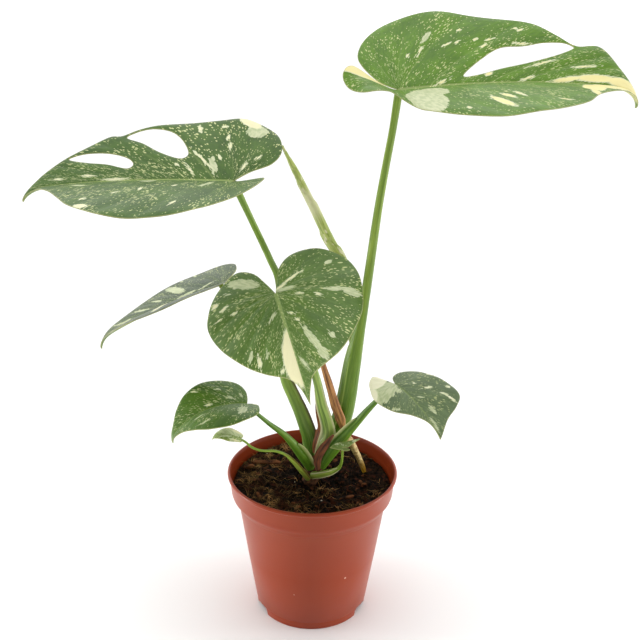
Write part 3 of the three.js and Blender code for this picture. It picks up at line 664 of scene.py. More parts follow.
centre_green = stalk_finish(
    "stalk_green_pale", paint(150, 174, 84), paint(66, 98, 30), paint(168, 174, 104), paint(204, 200, 156))
centre_stalk = Stalk([
    (5, -5, 116, 3.6, 3), (8, -7.5, 131, 4, 3.2), (11, -8, 141, 4.2, 3.2), (6, -10, 163, 3.2, 2.8),
    (1.5, -12, 184, 2.6, 2.4), (-9, -19, 218, 2.2, 2.1), (-22.6, -31.4, 247, 2.1, 2.1),
], 110, 26)
centre_stalk.body(ribbed(7, 0.05, 0.08))
centre_stalk.fin(0.02, 0.6, 200, 1.6, lean=-0.2, root=0.3, wave=0.1)
centre_stalk.fin(0.06, 0.52, 165, 4.4, lean=-0.1, root=0.5, wave=0.08, dry=1.0)
centre_stalk.fin(0.02, 0.62, 318, 1.5, lean=0.2, root=0.3, wave=0.1)
centre_stalk.make("stalk_centre", centre_green, "petiole", "petiole_centre")

middle_left_green = stalk_finish(
    "stalk_green_olive", paint(136, 154, 56), paint(98, 120, 38), paint(100, 120, 50), paint(140, 150, 84))
middle_left_stalk = Stalk([
    (-3, 5, 113, 3.2, 3), (-6, 9, 135, 3, 2.8), (-14, 16, 162, 2.5, 2.4), (-29, 27, 190, 2.1, 2),
    (-48, 36, 213, 1.9, 1.9), (-66, 40, 230.2, 1.8, 1.8),
], 110, 22)
middle_left_stalk.body(ribbed(7, 0.02, 0.1))
middle_left_stalk.make("stalk_middle_left", middle_left_green, "petiole", "petiole_middle_left")

lower_right_green = stalk_finish(
    "stalk_green_fresh", paint(102, 136, 38), paint(62, 98, 20), paint(78, 116, 26), paint(196, 200, 140))
lower_right_stalk = Stalk([
    (6, -9, 114, 3.4, 3), (15, -11, 130, 4.6, 3), (26.7, -14, 147.2, 3.1, 2.3),
    (42.4, -22, 171.5, 1.8, 1.7), (53.5, -30.5, 186.2, 1.5, 1.5),
], 90, 22)
lower_right_stalk.body(ribbed(6, 0.03, 0.1))
lower_right_stalk.fin(0.1, 0.58, 190, 3.2, lean=0.2, root=0.4, wave=0.06, crest=0.8)
lower_right_stalk.make("stalk_lower_right", lower_right_green, "petiole", "petiole_lower_right")

lower_left_stalk = Stalk([
    (-1.5, -5.5, 111, 3.4, 2.8), (-7, -12, 124, 3.8, 3), (-12, -15, 133, 3.3, 2.7),
    (-19, -18, 143, 2.3, 2.1), (-29, -23, 154, 1.6, 1.5), (-37, -28, 164, 1.25, 1.2),
    (-43.8, -30.3, 171.3, 1.2, 1.2),
], 100, 22)
lower_left_stalk.body(ribbed(6, 0.03, 0.1))
lower_left_stalk.fin(0.04, 0.36, 350, 3.4, lean=-0.2, root=0.5, crest=0.7)
lower_left_stalk.make("stalk_lower_left", lower_right_green, "petiole", "petiole_lower_left")

tiny_green = stalk_finish(
    "stalk_green_young", paint(150, 176, 66), paint(112, 142, 42), paint(132, 142, 54), paint(122, 66, 44))
tiny_left_stalk = Stalk([
    (-3, -10, 105, 2.1, 1.9), (-8.5, -17.5, 117, 2, 1.8), (-14, -21.5, 126, 1.5, 1.4),
    (-18, -23.5, 131, 1, 1), (-25, -25, 134.5, 0.85, 0.85), (-35, -26, 135.5, 0.8, 0.8),
    (-41, -26, 138, 0.8, 0.8), (-45, -26, 141.8, 0.8, 0.8), (-48.4, -26, 143.9, 0.8, 0.7),
], 90, 16)
tiny_left_stalk.body(ribbed(5, 0.03))
tiny_left_stalk.fin(0.02, 0.42, 340, 1.1, lean=-0.2, root=0.5)
tiny_left_stalk.make("stalk_tiny_left", tiny_green, "petiole", "petiole_tiny_left")

tiny_right_stalk = Stalk([
    (0, -7.5, 106, 2.8, 2.4), (7, -11.5, 109.5, 2.7, 2.4), (13.5, -16, 114, 2.1, 2),
    (18, -18, 118, 1.4, 1.3), (19.5, -19.6, 122, 0.95, 0.95), (20.2, -21.3, 129, 0.8, 0.8),
    (20.1, -22.6, 135.4, 0.8, 0.8),
], 80, 16, across=(0, 1, 0))
tiny_right_stalk.body(ribbed(5, 0.03))
tiny_right_stalk.fin(0.02, 0.52, 115, 0.7, lean=0.2, root=0.5)
tiny_right_stalk.fin(0.02, 0.5, 215, 0.5, lean=0.2, root=0.5)
tiny_right_green = stalk_finish(
    "stalk_green_streaked", paint(156, 178, 74), paint(100, 134, 36), paint(134, 158, 58),
    paint(222, 220, 172), foot_top=0.6)
tiny_right_stalk.make("stalk_tiny_right", tiny_right_green, "petiole", "petiole_tiny_right")


# New leaf.
# The next leaf, still rolled up in a pointed spike. Its margin winds round it as a raised
# edge, and it slides out of the sheath of the tallest stalk.
ROLL_STEP = 0.26
ROLL_TURNS = 5.4


def rolled_up(share, angle):
    """The section of the roll: it grows round to the free margin, then drops to the next layer."""
    turn = (angle / (2 * math.pi) + ROLL_TURNS * share) % 1
    return 1 - ROLL_STEP / 2 + ROLL_STEP * turn


young = Finish("rolled_leaf", Roughness=0.4)
young_grain = young.stored("grain")
young_height = young.parts("zone")[0]
young_lines = young.cloud(young.scaled(young_grain, (1.1, 1.1, 0.07)), 1, 3)
young_spots = young.cloud(young.scaled(young_grain, (0.5, 0.5, 0.16)), 1, 4)
young_tone = young.blend(young.ease(young_lines, 0.36, 0.62), paint(128, 146, 58), paint(176, 186, 102))
# one pale band across the roll
young_band = young.ease(young_height, 0.68, 0.72)
young_band = young.times(young_band, young.ease(young_height, 0.78, 0.82, 0.8, 0.0))
young_cream = young.calc("MAXIMUM", young.ease(young_spots, 0.56, 0.62), young_band)
young_pale = young.blend(young_cream, young_tone, paint(206, 204, 160))
young_foot = young.ease(young_height, 0.3, 0.5, 0.7, 0.0)
young.colour(young.blend(young_foot, young_pale, paint(112, 138, 40)))
young_wrinkles = young.cloud(young.scaled(young_grain, (0.3, 0.3, 0.7)), 1, 3)
young.relief(young.plus(young_lines, young_wrinkles), 0.5)
Stalk([
    (28, 5, 192, 1.8, 1.8), (24.5, 6, 211, 1.8, 1.8), (24.6, 8, 232, 2, 2),
    (22.5, 9.5, 246, 2.6, 2.5), (17.8, 11, 258, 3.6, 3.4), (9, 16, 271.5, 3.6, 3.4),
    (-2.6, 22, 294, 3, 2.8), (-12.9, 26, 313, 2.3, 2.2), (-22, 29.5, 330, 0.7, 0.7),
], 150, 40).body(rolled_up).make("new_leaf_roll", young, "new_leaf", "new_leaf")


# Dry sheath and bract.
# Papery brown strips left by older leaves: one stands against the tallest stalk, the other
# curls at the foot of the plant.
def papery(share, angle):
    """The strip's section, with a torn, uneven edge."""
    return 1 + 0.18 * noise.noise(Vector((5 * share, 3 * math.cos(angle), 2)))


def papery_finish(name, roughness, fibres, low, high, dark, light, depth):
    """Dry tissue with long fibres of two browns, raised by that depth."""
    finish = Finish(name, Roughness=roughness)
    lines = finish.cloud(finish.scaled(finish.stored("grain"), fibres), 1, 4)
    finish.colour(finish.blend(finish.ease(lines, low, high), dark, light))
    finish.relief(lines, depth)
    return finish


paper = papery_finish(
    "dry_sheath_paper", 0.6, (1.6, 1.6, 0.06), 0.34, 0.64, paint(104, 54, 26), paint(212, 148, 90), 0.5)
Stalk([
    (21, -2.4, 140.5, 1.8, 1.2), (19, -3.4, 148, 3.5, 0.9), (15.8, -3.6, 157, 3.3, 0.7),
    (12.3, -3.4, 169, 2.7, 0.6), (7.8, -3, 184, 2.1, 0.6), (5, -3, 195, 1.7, 0.5),
], 60, 24).body(papery).make("dry_sheath_strip", paper, "dry", "dry_sheath")

husk = papery_finish(
    "dry_bract_husk", 0.7, (1.4, 1.4, 0.1), 0.35, 0.65, paint(50, 22, 8), paint(128, 72, 34), 0.4)
Stalk([
    (4, -11, 112, 1.6, 1.2), (3.5, -13, 122, 3, 0.9), (7.8, -14.6, 132.5, 3, 0.7),
    (14, -16.4, 142.5, 0.9, 0.5),
], 50, 22).body(papery).make("dry_bract_curl", husk, "dry", "dry_bract")


# Aerial root.
# A tan root that leaves the stem above the soil and reaches down into it, with a fresh
# yellow tip.
root_skin = Finish("aerial_root_skin", Roughness=0.6)
root_cork = root_skin.cloud(root_skin.scaled(root_skin.stored("grain"), (0.7, 0.7, 0.5)), 1, 5)
root_tone = root_skin.ease(root_cork, 0.38, 0.62)
root_tan = root_skin.blend(root_tone, paint(150, 120, 66), paint(214, 192, 128))
root_tip = root_skin.ease(root_skin.parts("zone")[0], 0.6, 0.78)
root_skin.colour(root_skin.blend(root_tip, root_tan, paint(206, 158, 36)))
root_skin.relief(root_cork, 0.4)


def root_bumps(share, angle):
    """The root's section, a little uneven all along."""
    return 1 + 0.1 * noise.noise(Vector((1.5 * math.cos(angle), 1.5 * math.sin(angle), 9 * share)))


Stalk([
    (18, 4, 129, 2.4, 2.4), (24, 4, 130, 2.5, 2.4), (31, 8, 116, 2.3, 2.2), (36.5, 11.5, 102, 1.8, 1.7),
    (38, 12.5, 95, 1.3, 1.3),
], 70, 24).body(root_bumps).make("aerial_root_run", root_skin, "root", "aerial_root")


# Leaf blades.
# Heart-shaped blades of thick waxy tissue, each grown from the top of its own stalk, two with
# holes between their veins. Cream patches lie where the leaf made no green.
BLADE_HALF = 0.4
MARGIN_HALF = 0.24
MARGIN_BAND = 1.2
BEND_STEPS = 80
BEND_REACH = 1.02
HOOK_START = 0.8
LOBE_LIFT_START = 0.16
RIPPLES = 13
VEIN_SPACING = 0.12
VEIN_SHIFT = 40.3
VEIN_PUFF = 0.75
GROOVE_DEPTH = 0.45
KEEL_DEPTH = 0.9
BIG_BLADE = 150
FAN_RADIUS = 0.27
SIDES = {"left": 1, "right": -1}

# Each blade is drawn flat in millimetres, x from junction to tip and y out from the midrib, then
# bent as it grew. at is the place of its junction, yaw, pitch and roll turn it, in degrees, and
# width is that of one half. droop bends the midrib, later for a larger bow, and hook bends the
# tip on. fold raises both halves from the midrib, curl bends them down across, and ripple waves
# the margin. lift and sag move the lobes behind the junction up and down. lean and sweep slant
# and curve the side veins, and step is the size of the mesh. greens are light and dark, cream
# and pale are oval patches, butter is the deepest cream, and speckle the size of the specks.

# what a blade is like where its own entry says nothing else
PLAIN_LEAF = dict(
    bow=1.2, lift=dict(left=0, right=0), sag=dict(left=0, right=0), holes=[], cream={}, pale={},
    butter=(236, 230, 186),
)

LEAVES = {
    "upper_right": dict(
        at=(50, 0, 369), yaw=-8, pitch=7.5, roll=20, length=150, width=76,
        droop=15, hook=90, fold=15, curl=8, ripple=1.4,
        lift=dict(left=2, right=76), sag=dict(left=0, right=221),
        left=[(0, 0), (-12, 9), (-23, 26), (-26, 40), (-20, 59), (-6, 73), (22, 79), (44, 74), (67, 66),
              (84, 58), (97, 46), (108, 36), (122, 37), (132, 17), (140, 6), (150, 0)],
        right=[(0, 0), (-14, 0.5), (-25, 2.5), (-30.5, 14), (-27.5, 24), (-17.5, 31.5), (-7.5, 34),
               (5.6, 46), (23, 56), (40, 65), (60, 73), (78, 64), (90, 56), (105, 42), (115, 24),
               (132, 8), (150, 0)],
        holes=[("left", [(39, 8), (48, 8), (62, 13), (78, 18), (94, 25), (104, 31.5), (106, 35),
                         (100, 38.5), (88, 38), (76, 35), (62, 34), (50, 23)])],
        lean=dict(left=(0.4, 3.0), right=(0.2, 1.8)), sweep=0.2, step=1.05,
        cream=dict(left=[(13, 34, 6, 1.0, 70), (26, 3, 6, 1.3, 30), (54, 8, 3, 1.9, 25),
                         (100, 3, 12, 2.4, 14), (117, 5, 14, 3.6, 2), (134, 4, 12, 5, 0),
                         (77, 3.5, 6, 1.2, 25), (86, 17, 10, 1.2, 22), (111, 15, 9, 1.2, 12),
                         (52, 36, 3, 1.4, 35), (38, 55, 2.2, 1.4, 50), (75, 51, 3, 1.3, 15),
                         (47, 43, 2.8, 1.2, 45), (30, 39, 3, 1.2, 30), (36, 40, 2.6, 1.2, 40),
                         (56, 43, 3, 1.3, 30), (72, 54, 1.6, 1.3, 0), (75, 37, 6, 1.2, 0),
                         (6, 31, 2.4, 1.1, 80)],
                   right=[(58, 49, 14, 2.8, 62), (62, 36, 7.5, 2.2, 55), (68, 33, 8, 1.3, 60),
                          (113, 12, 8, 7, 90), (112, 24, 7, 2.8, 75), (122, 6, 12, 5, 0),
                          (138, 2, 10, 4, 0), (92, 42, 4, 1.8, 0), (40, 55, 3, 1.2, 60),
                          (-28, 4, 23, 7.5, -8)]),
        pale=dict(left=[(17, 48, 6, 2.2, 65)],
                  right=[(17, 34, 25, 11.5, 76), (22, 16, 11, 7, 60)]),
        greens=((94, 136, 12), (70, 108, 8)), speckle=1.0, butter=(238, 227, 160),
    ),
    "upper_left": dict(
        at=(-50, -20, 316), yaw=187, pitch=3, roll=-13, length=129, width=68,
        droop=11, hook=60, fold=14, curl=8, ripple=1.2,
        lift=dict(left=20, right=0),
        left=[(0, 0), (-11, 2), (-18, 9), (-15, 22), (-8, 36), (4, 51), (28, 68), (47, 72), (62, 74),
              (76, 67), (90, 50), (99, 31), (107, 14), (115, 4), (129, 0)],
        right=[(0, 0), (-11, 10), (-25, 20), (-32, 36), (-29, 57), (-12, 71), (6, 69), (26, 67),
               (43, 62), (57, 55), (68, 48), (76, 48), (88, 38), (101, 26), (112, 13), (119, 5.5),
               (129, 0)],
        holes=[("right", [(49, 56), (38, 54), (31, 44), (27, 28), (32, 22), (44, 28), (55, 38),
                          (65, 45), (60, 51)]),
               ("right", [(90, 30), (76, 29), (64, 23), (60, 16), (64, 12), (76, 17), (88, 20),
                          (99, 25)])],
        lean=dict(left=(0.3, 1.0), right=(0.1, 4.5)), sweep=0.1, step=1.0,
        cream=dict(left=[(82, 57, 5.5, 2.8, -45), (34, 54, 4.5, 1.3, 55), (83, 44, 2.6, 1.4, 45),
                         (67, 32, 3, 1.2, 60), (53, 26, 3, 1.3, 80), (34, 19, 3, 1.3, 70)],
                   right=[(-13, 67, 9, 6, 50), (2, 46, 3.2, 1.5, 90), (4, 59, 2, 1.4, 0),
                          (20, 58, 5, 1.5, 80), (1, 36, 4.5, 1.2, 90), (18, 20, 15, 1.2, 60),
                          (26, 10, 7, 1.2, 65), (8, 23, 2.8, 1.2, 80), (34, 15, 2.4, 1.2, 50),
                          (86, 6, 4.5, 1.2, 10), (70, 1.6, 8, 1.2, 0), (104, 5, 4, 1.1, 5),
                          (-7, 15, 6, 1.2, 115), (-16, 24, 4, 1.2, 125)]),
        pale=dict(left=[(16, 14, 9, 2, 62), (50, 4, 5, 2, 0), (90, 9, 6, 1.8, -20)],
                  right=[(-17, 56, 9, 6.5, 120), (12, 15, 9, 2.4, 85)]),
        greens=((72, 106, 20), (50, 82, 14)), speckle=1.1,
    ),
    "middle_left": dict(
        at=(-65, 40, 231), yaw=185, pitch=-18, roll=7, length=101, width=51,
        droop=15, hook=62, fold=10, curl=7, ripple=0.8,
        lift=dict(left=6, right=0),
        left=[(0, 0), (-5, 7), (-9, 16), (-8, 28), (4, 34), (24, 38), (41, 43), (58, 44), (75, 28),
              (86, 8), (101, 0)],
        right=[(0, 0), (-7, 9), (-11, 22), (-9, 37), (2, 44), (23, 46), (42, 39), (60, 30), (77, 18),
               (92, 8), (101, 0)],
        lean=dict(left=(0.4, 2.0), right=(0.4, 2.0)), sweep=0.3, step=1.0,
        cream=dict(left=[(42, 22, 16, 3, 80)]),
        pale=dict(right=[(26, 3, 8, 2, -10), (74, 4, 6, 1.6, 0), (36, 22, 15, 4, 60),
                         (62, 10, 10, 1.4, 35), (12, 6, 9, 1.2, -30), (32, 38, 3, 1.4, 60),
                         (22, 42, 4, 1.2, 80), (50, 14, 7, 1.3, 45), (80, 6, 7, 1.2, 20)]),
        greens=((72, 92, 50), (48, 68, 38)), speckle=0.9,
    ),
    "centre": dict(
        at=(-24, -30, 248), yaw=-76, pitch=-19, roll=20, length=101, width=50,
        droop=-6, hook=26, fold=3, curl=15, ripple=0.9,
        left=[(0, 0), (-21, 6), (-31.5, 16), (-32, 31), (-25, 42), (-12, 51), (9, 53), (34, 47.5),
              (54.5, 37), (69, 25), (80, 8), (89, 3.5), (101, 0)],
        right=[(0, 0), (-12, 4), (-26, 10), (-33, 20), (-27, 31), (-18, 39), (-5, 44.5), (10, 47),
               (32, 41), (53, 30), (67, 19), (78, 7), (88, 2.5), (101, 0)],
        lean=dict(left=(1.4, 5.0), right=(1.4, 5.0)), sweep=0.35, step=0.8,
        cream=dict(left=[(-8.5, 12, 10, 1.5, 115), (8, 14, 2.6, 1.1, 60), (31, 8, 2.6, 1.1, 30),
                         (23, 5.5, 3.2, 1.1, 50), (15, 25, 3.4, 1.1, 40), (-4, 4, 6, 1.4, 110)],
                   right=[(64, 2.4, 23, 5.2, 2), (46, 1.5, 12, 3, 10), (80, 1.5, 10, 2.4, -5),
                          (56, 20.5, 7, 1.3, 4), (-9, 39, 3, 2, 60), (5, 39, 3.4, 1.2, 70),
                          (-3, 34, 4, 1.4, 55), (5, 28, 2.6, 1.3, 75), (70, 9, 2.5, 1.2, 10)]),
        pale=dict(left=[(20, 44, 8, 3.2, 42), (14, 36, 7, 2.2, 68), (-14, 38, 3.2, 2, 120),
                        (-0.5, 7, 6.5, 1.9, 80), (54, 13, 18, 2.1, 13), (67, 16, 7, 2.6, 8),
                        (54, 24, 4, 1.5, 12), (70, 4, 7, 1.2, 12)],
                  right=[(-19, 18, 12, 4.6, 126), (21, 6, 5.6, 1.3, 38), (49, 24.5, 5, 1.6, 16),
                         (52, 15, 4.5, 1.1, 14), (-15, 29, 2.8, 1.2, 120)]),
        greens=((94, 124, 50), (72, 101, 35)), speckle=1.1,
    ),
    "lower_left": dict(
        at=(-43, -30, 172), yaw=203, pitch=11, roll=-2, length=60, width=33,
        droop=75, bow=1.4, hook=40, fold=13, curl=16, ripple=0.6,
        left=[(0, 0), (-4, 0.6), (-6, 4), (-4.5, 11), (-1, 19), (7, 27), (19, 31), (32, 28), (40, 19),
              (48, 9), (60, 0)],
        right=[(0, 0), (-2, 6), (-3, 15), (0, 24), (10, 31), (20, 31), (34, 25), (43, 16), (51, 6),
               (60, 0)],
        lean=dict(left=(0.5, 1.5), right=(0.4, 1.5)), sweep=0.3, step=0.75,
        cream=dict(left=[(-5, 1.8, 3.4, 1.8, 60)],
                   right=[(25, 3.3, 2.8, 1.4, 20), (29, 22, 2.4, 1.2, 50)]),
        pale=dict(left=[(8, 14, 7.5, 3, 62), (32, 17, 4, 1.2, 10), (34, 7, 4, 1, 15)],
                  right=[(9.5, 6.5, 3.2, 1.2, 40), (2, 8, 2.6, 1, 80), (15, 18, 2, 1.5, 30)]),
        greens=((80, 116, 18), (60, 94, 10)), speckle=1.0,
    ),
    "lower_right": dict(
        at=(53, -30, 187), yaw=-64, pitch=1, roll=12, length=54, width=31,
        droop=44, hook=28, fold=6, curl=18, ripple=0.6,
        left=[(0, 0), (-8, 3), (-10, 10), (-4, 19), (5, 23), (18, 28), (32, 28), (39, 21), (45, 10),
              (54, 0)],
        right=[(0, 0), (-11, 3), (-18, 6), (-13, 12), (-5, 16), (8, 20), (23, 17), (33, 7.5), (42, 1.5),
               (54, 0)],
        lean=dict(left=(0.5, 2.5), right=(0.4, 2.5)), sweep=0.3, step=0.7,
        cream=dict(left=[(8.5, 9, 1.6, 1.2, 0), (6, 23.5, 3, 1.2, 30), (17.5, 14, 4, 1.1, 62),
                         (32, 21, 5, 1.2, 14), (26, 18.5, 3, 0.9, 50), (23, 26, 2, 1.2, 30)],
                   right=[(-10, 8, 11, 6.6, 44), (-14, 4, 7, 3.4, 0), (3, 18.5, 10, 3.8, 27)]),
        pale=dict(left=[(35, 5.6, 4, 1.5, 5), (22, 4.8, 2.6, 0.9, 35), (44, 1.2, 6, 1, 0)],
                  right=[(5, 10, 14, 6.4, 50), (24, 14, 3.4, 1.2, 120), (9, 3, 3, 2.4, 0),
                         (14, 19, 7, 1.2, 5)]),
        greens=((108, 127, 88), (88, 106, 72)), speckle=0.85, butter=(250, 244, 216),
    ),
    "tiny_left": dict(
        at=(-47.9, -26, 144.2), yaw=184, pitch=28, roll=-10, length=22, width=9,
        droop=100, bow=2, hook=0, fold=8, curl=20, ripple=0.3,
        left=[(0, 0), (-1, 2), (0, 4), (4, 6), (9, 7), (15, 5), (22, 0)],
        right=[(0, 0), (-1, 2), (-1, 4), (2, 6), (8, 7), (14, 5), (22, 0)],
        lean=dict(left=(0.6, 1.5), right=(0.6, 1.5)), sweep=0.2, step=0.5,
        cream=dict(left=[(4, 5, 3.6, 1.6, 10)],
                   right=[(3, 5, 6, 2.4, 0), (10, 6, 5, 1.6, 0)]),
        pale=dict(left=[(10, 3, 6, 1.2, 10)],
                  right=[(8, 4, 10, 5, 0)]),
        greens=((146, 164, 82), (112, 136, 54)), speckle=1.2,
    ),
    "tiny_right": dict(
        at=(20.1, -22.5, 136.3), yaw=180, pitch=4, roll=-35, length=8.6, width=6,
        droop=20, bow=1, hook=10, fold=2, curl=12, ripple=0,
        left=[(0, 0), (-2.4, 0.1), (-5.4, 1.2), (-2, 2.4), (1.5, 1.8), (5, 1.2), (8.6, 0)],
        right=[(0, 0), (-3.6, 0.4), (-6, 2.4), (-8.6, 5), (-12, 8), (-8, 7), (-4.5, 5.4), (-1, 4.4),
               (3, 3.6), (6, 2), (8.6, 0)],
        lean=dict(left=(0.6, 1.5), right=(0.6, 1.5)), sweep=0.2, step=0.35,
        pale=dict(right=[(3, 2.6, 4, 0.8, 10), (-8, 5.6, 3, 0.7, 145)]),
        greens=((128, 146, 84), (92, 116, 54)), speckle=0.5,
    ),
}


def flat_line(marks, step, closed=False):
    """A smooth flat line through the marks, resampled in even steps."""
    marks = np.array(marks, float)
    if closed:
        ends = np.vstack([marks[-1], marks, marks[0], marks[1]])
    else:
        ends = np.vstack([marks[0], marks, marks[-1]])
    dense = []
    for p0, p1, p2, p3 in zip(ends, ends[1:], ends[2:], ends[3:]):
        w = np.linspace(0, 1, 30, endpoint=False)[:, None]
        v0, v1 = (p2 - p0) / 2, (p3 - p1) / 2
        cubed, squared = 2 * p1 - 2 * p2 + v0 + v1, 3 * p2 - 3 * p1 - 2 * v0 - v1
        dense.append(cubed * w ** 3 + squared * w ** 2 + v0 * w + p1)
    dense = np.vstack(dense + [marks[:1] if closed else marks[-1:]])
    walked = np.concatenate([[0], np.cumsum(np.linalg.norm(np.diff(dense, axis=0), axis=1))])
    even = np.linspace(0, walked[-1], max(int(walked[-1] / step), 4) + 1)
    line = np.stack([np.interp(even, walked, dense[:, k]) for k in (0, 1)], -1)
    return line[:-1] if closed else line


def within(places, loop):
    """Which flat places lie inside a closed loop."""
    x, y = places[:, 0], places[:, 1]
    found = np.zeros(len(places), bool)
    for (x1, y1), (x2, y2) in zip(loop, np.roll(loop, -1, axis=0)):
        if y1 != y2:
            found ^= ((y1 > y) != (y2 > y)) & (x < (x2 - x1) * (y - y1) / (y2 - y1) + x1)
    return found


def cut_flat(leaf):
    """The flat blade cut into small triangles, with its margin, holes and midrib as edges."""
    step = leaf["step"]
    left = flat_line(leaf["left"], step)
    right = flat_line(leaf["right"], step)
    left[:, 1] = np.maximum(left[:, 1], 0)
    right[:, 1] = -np.maximum(right[:, 1], 0)
    outer = np.vstack([left, right[-2:0:-1]])
    loops = [outer]
    for side, marks in leaf["holes"]:
        loops.append(flat_line([(x, y * SIDES[side]) for x, y in marks], step, closed=True))
    rib = np.stack([np.arange(step, leaf["length"] - step / 2, step)] * 2, -1) * (1, 0)
    border = np.vstack(loops)
    low, high = outer.min(axis=0), outer.max(axis=0)
    rows = np.arange(low[1], high[1], step * 0.87)
    grid = np.vstack([
        np.stack([np.arange(low[0] + (i % 2) * step / 2, high[0], step)] * 2, -1) * (1, 0) + (0, row)
        for i, row in enumerate(rows)
    ])
    grid = grid[within(grid, outer) & (np.abs(grid[:, 1]) > step * 0.6)]
    for loop in loops[1:]:
        grid = grid[~within(grid, loop)]
    clear = np.array([np.min(np.hypot(*(border - place).T)) > step * 0.6 for place in grid])
    grid = grid[clear]
    places = np.vstack([border, rib, grid])
    edges, first = [], 0
    for loop in loops:
        edges += [(first + i, first + (i + 1) % len(loop)) for i in range(len(loop))]
        first += len(loop)
    rib_chain = [0, *range(first, first + len(rib)), len(left) - 1]
    edges += list(zip(rib_chain, rib_chain[1:]))
    found, _, faces, *_ = geometry.delaunay_2d_cdt([Vector(p) for p in places], edges, [], 0, 1e-5)
    places = np.array([tuple(p) for p in found])
    faces = np.array(faces)
    middles = places[faces].mean(axis=1)
    keep = within(middles, outer)
    for loop in loops[1:]:
        keep &= ~within(middles, loop)
    nearest = np.array([np.min(np.hypot(*(border - place).T)) for place in places])
    return places, faces[keep], nearest


def vein_place(leaf, x, y, side):
    """Where a flat point lies among the side veins: across them, and out along the nearest."""
    base, gain = leaf["lean"][side]
    length = leaf["length"]
    straight = x - leaf["sweep"] * y ** 2 / leaf["width"]
    start = (straight - base * y) / (1 + gain * y / length)
    spread = np.arctan2(y, straight) - math.atan2(1, base)
    across = np.where(start > 0, start, -spread * FAN_RADIUS * length)
    out = np.where(start > 0, np.hypot(x - np.maximum(start, 0), y), np.hypot(x, y))
    return across, out


def bent(leaf, x, y, side):
    """A flat point of one half, bowed and folded, in the blade's own frame."""
    length, width = leaf["length"], leaf["width"]
    step = length * BEND_REACH / BEND_STEPS
    share = np.arange(BEND_STEPS + 1) * step / length
    beyond = np.clip((share - HOOK_START) / (1 - HOOK_START), 0, 1)
    angles = -np.radians(leaf["droop"]) * share ** leaf["bow"] - np.radians(leaf["hook"]) * beyond ** 2
    angles[0] = 0
    rib_x = np.concatenate([[0], np.cumsum(np.cos(angles[:-1])) * step])
    rib_z = np.concatenate([[0], np.cumsum(np.sin(angles[:-1])) * step])
    along = np.maximum(x, 0) / step
    knots = np.arange(BEND_STEPS + 1)
    angle = np.interp(along, knots, angles)
    fold = math.radians(leaf["fold"])
    turn = math.radians(leaf["curl"]) / width
    out = (math.sin(fold) - np.sin(fold - turn * y)) / turn
    up = (np.cos(fold - turn * y) - math.cos(fold)) / turn
    spread = y / width
    behind = np.maximum(LOBE_LIFT_START * length * spread - x, 0)

    def swing(height, reach):
        """A rise that starts softly and ends as an even slope."""
        return height * reach ** 2 / ((reach + 0.1 * length) * 0.4 * length)

    sag = leaf["sag"][side] * spread
    lobe = swing(leaf["lift"][side], behind) - swing(sag, np.maximum(-x, 0))
    wave = leaf["ripple"] * spread ** 2 * np.sin(RIPPLES * x / length + (0 if side == "left" else 2))
    return np.stack([
        np.interp(along, knots, rib_x) + np.minimum(x, 0) - up * np.sin(angle),
        SIDES[side] * out,
        np.interp(along, knots, rib_z) + up * np.cos(angle) + lobe + wave,
    ], -1)


def painted(leaf, kind, x, y, side):
    """How far a flat point lies inside the nearest oval of that kind, in millimetres.

    Each oval is its centre x and y, half length, half width and turn in degrees.
    """
    depth = np.full(len(x), -9.0)
    for px, py, long, wide, degrees in leaf[kind].get(side, []):
        a = math.radians(degrees)
        forward = (x - px) * math.cos(a) + (y - py) * math.sin(a)
        sideways = (y - py) * math.cos(a) - (x - px) * math.sin(a)
        depth = np.maximum(depth, (1 - np.hypot(forward / long, sideways / wide)) * min(long, wide))
    return depth


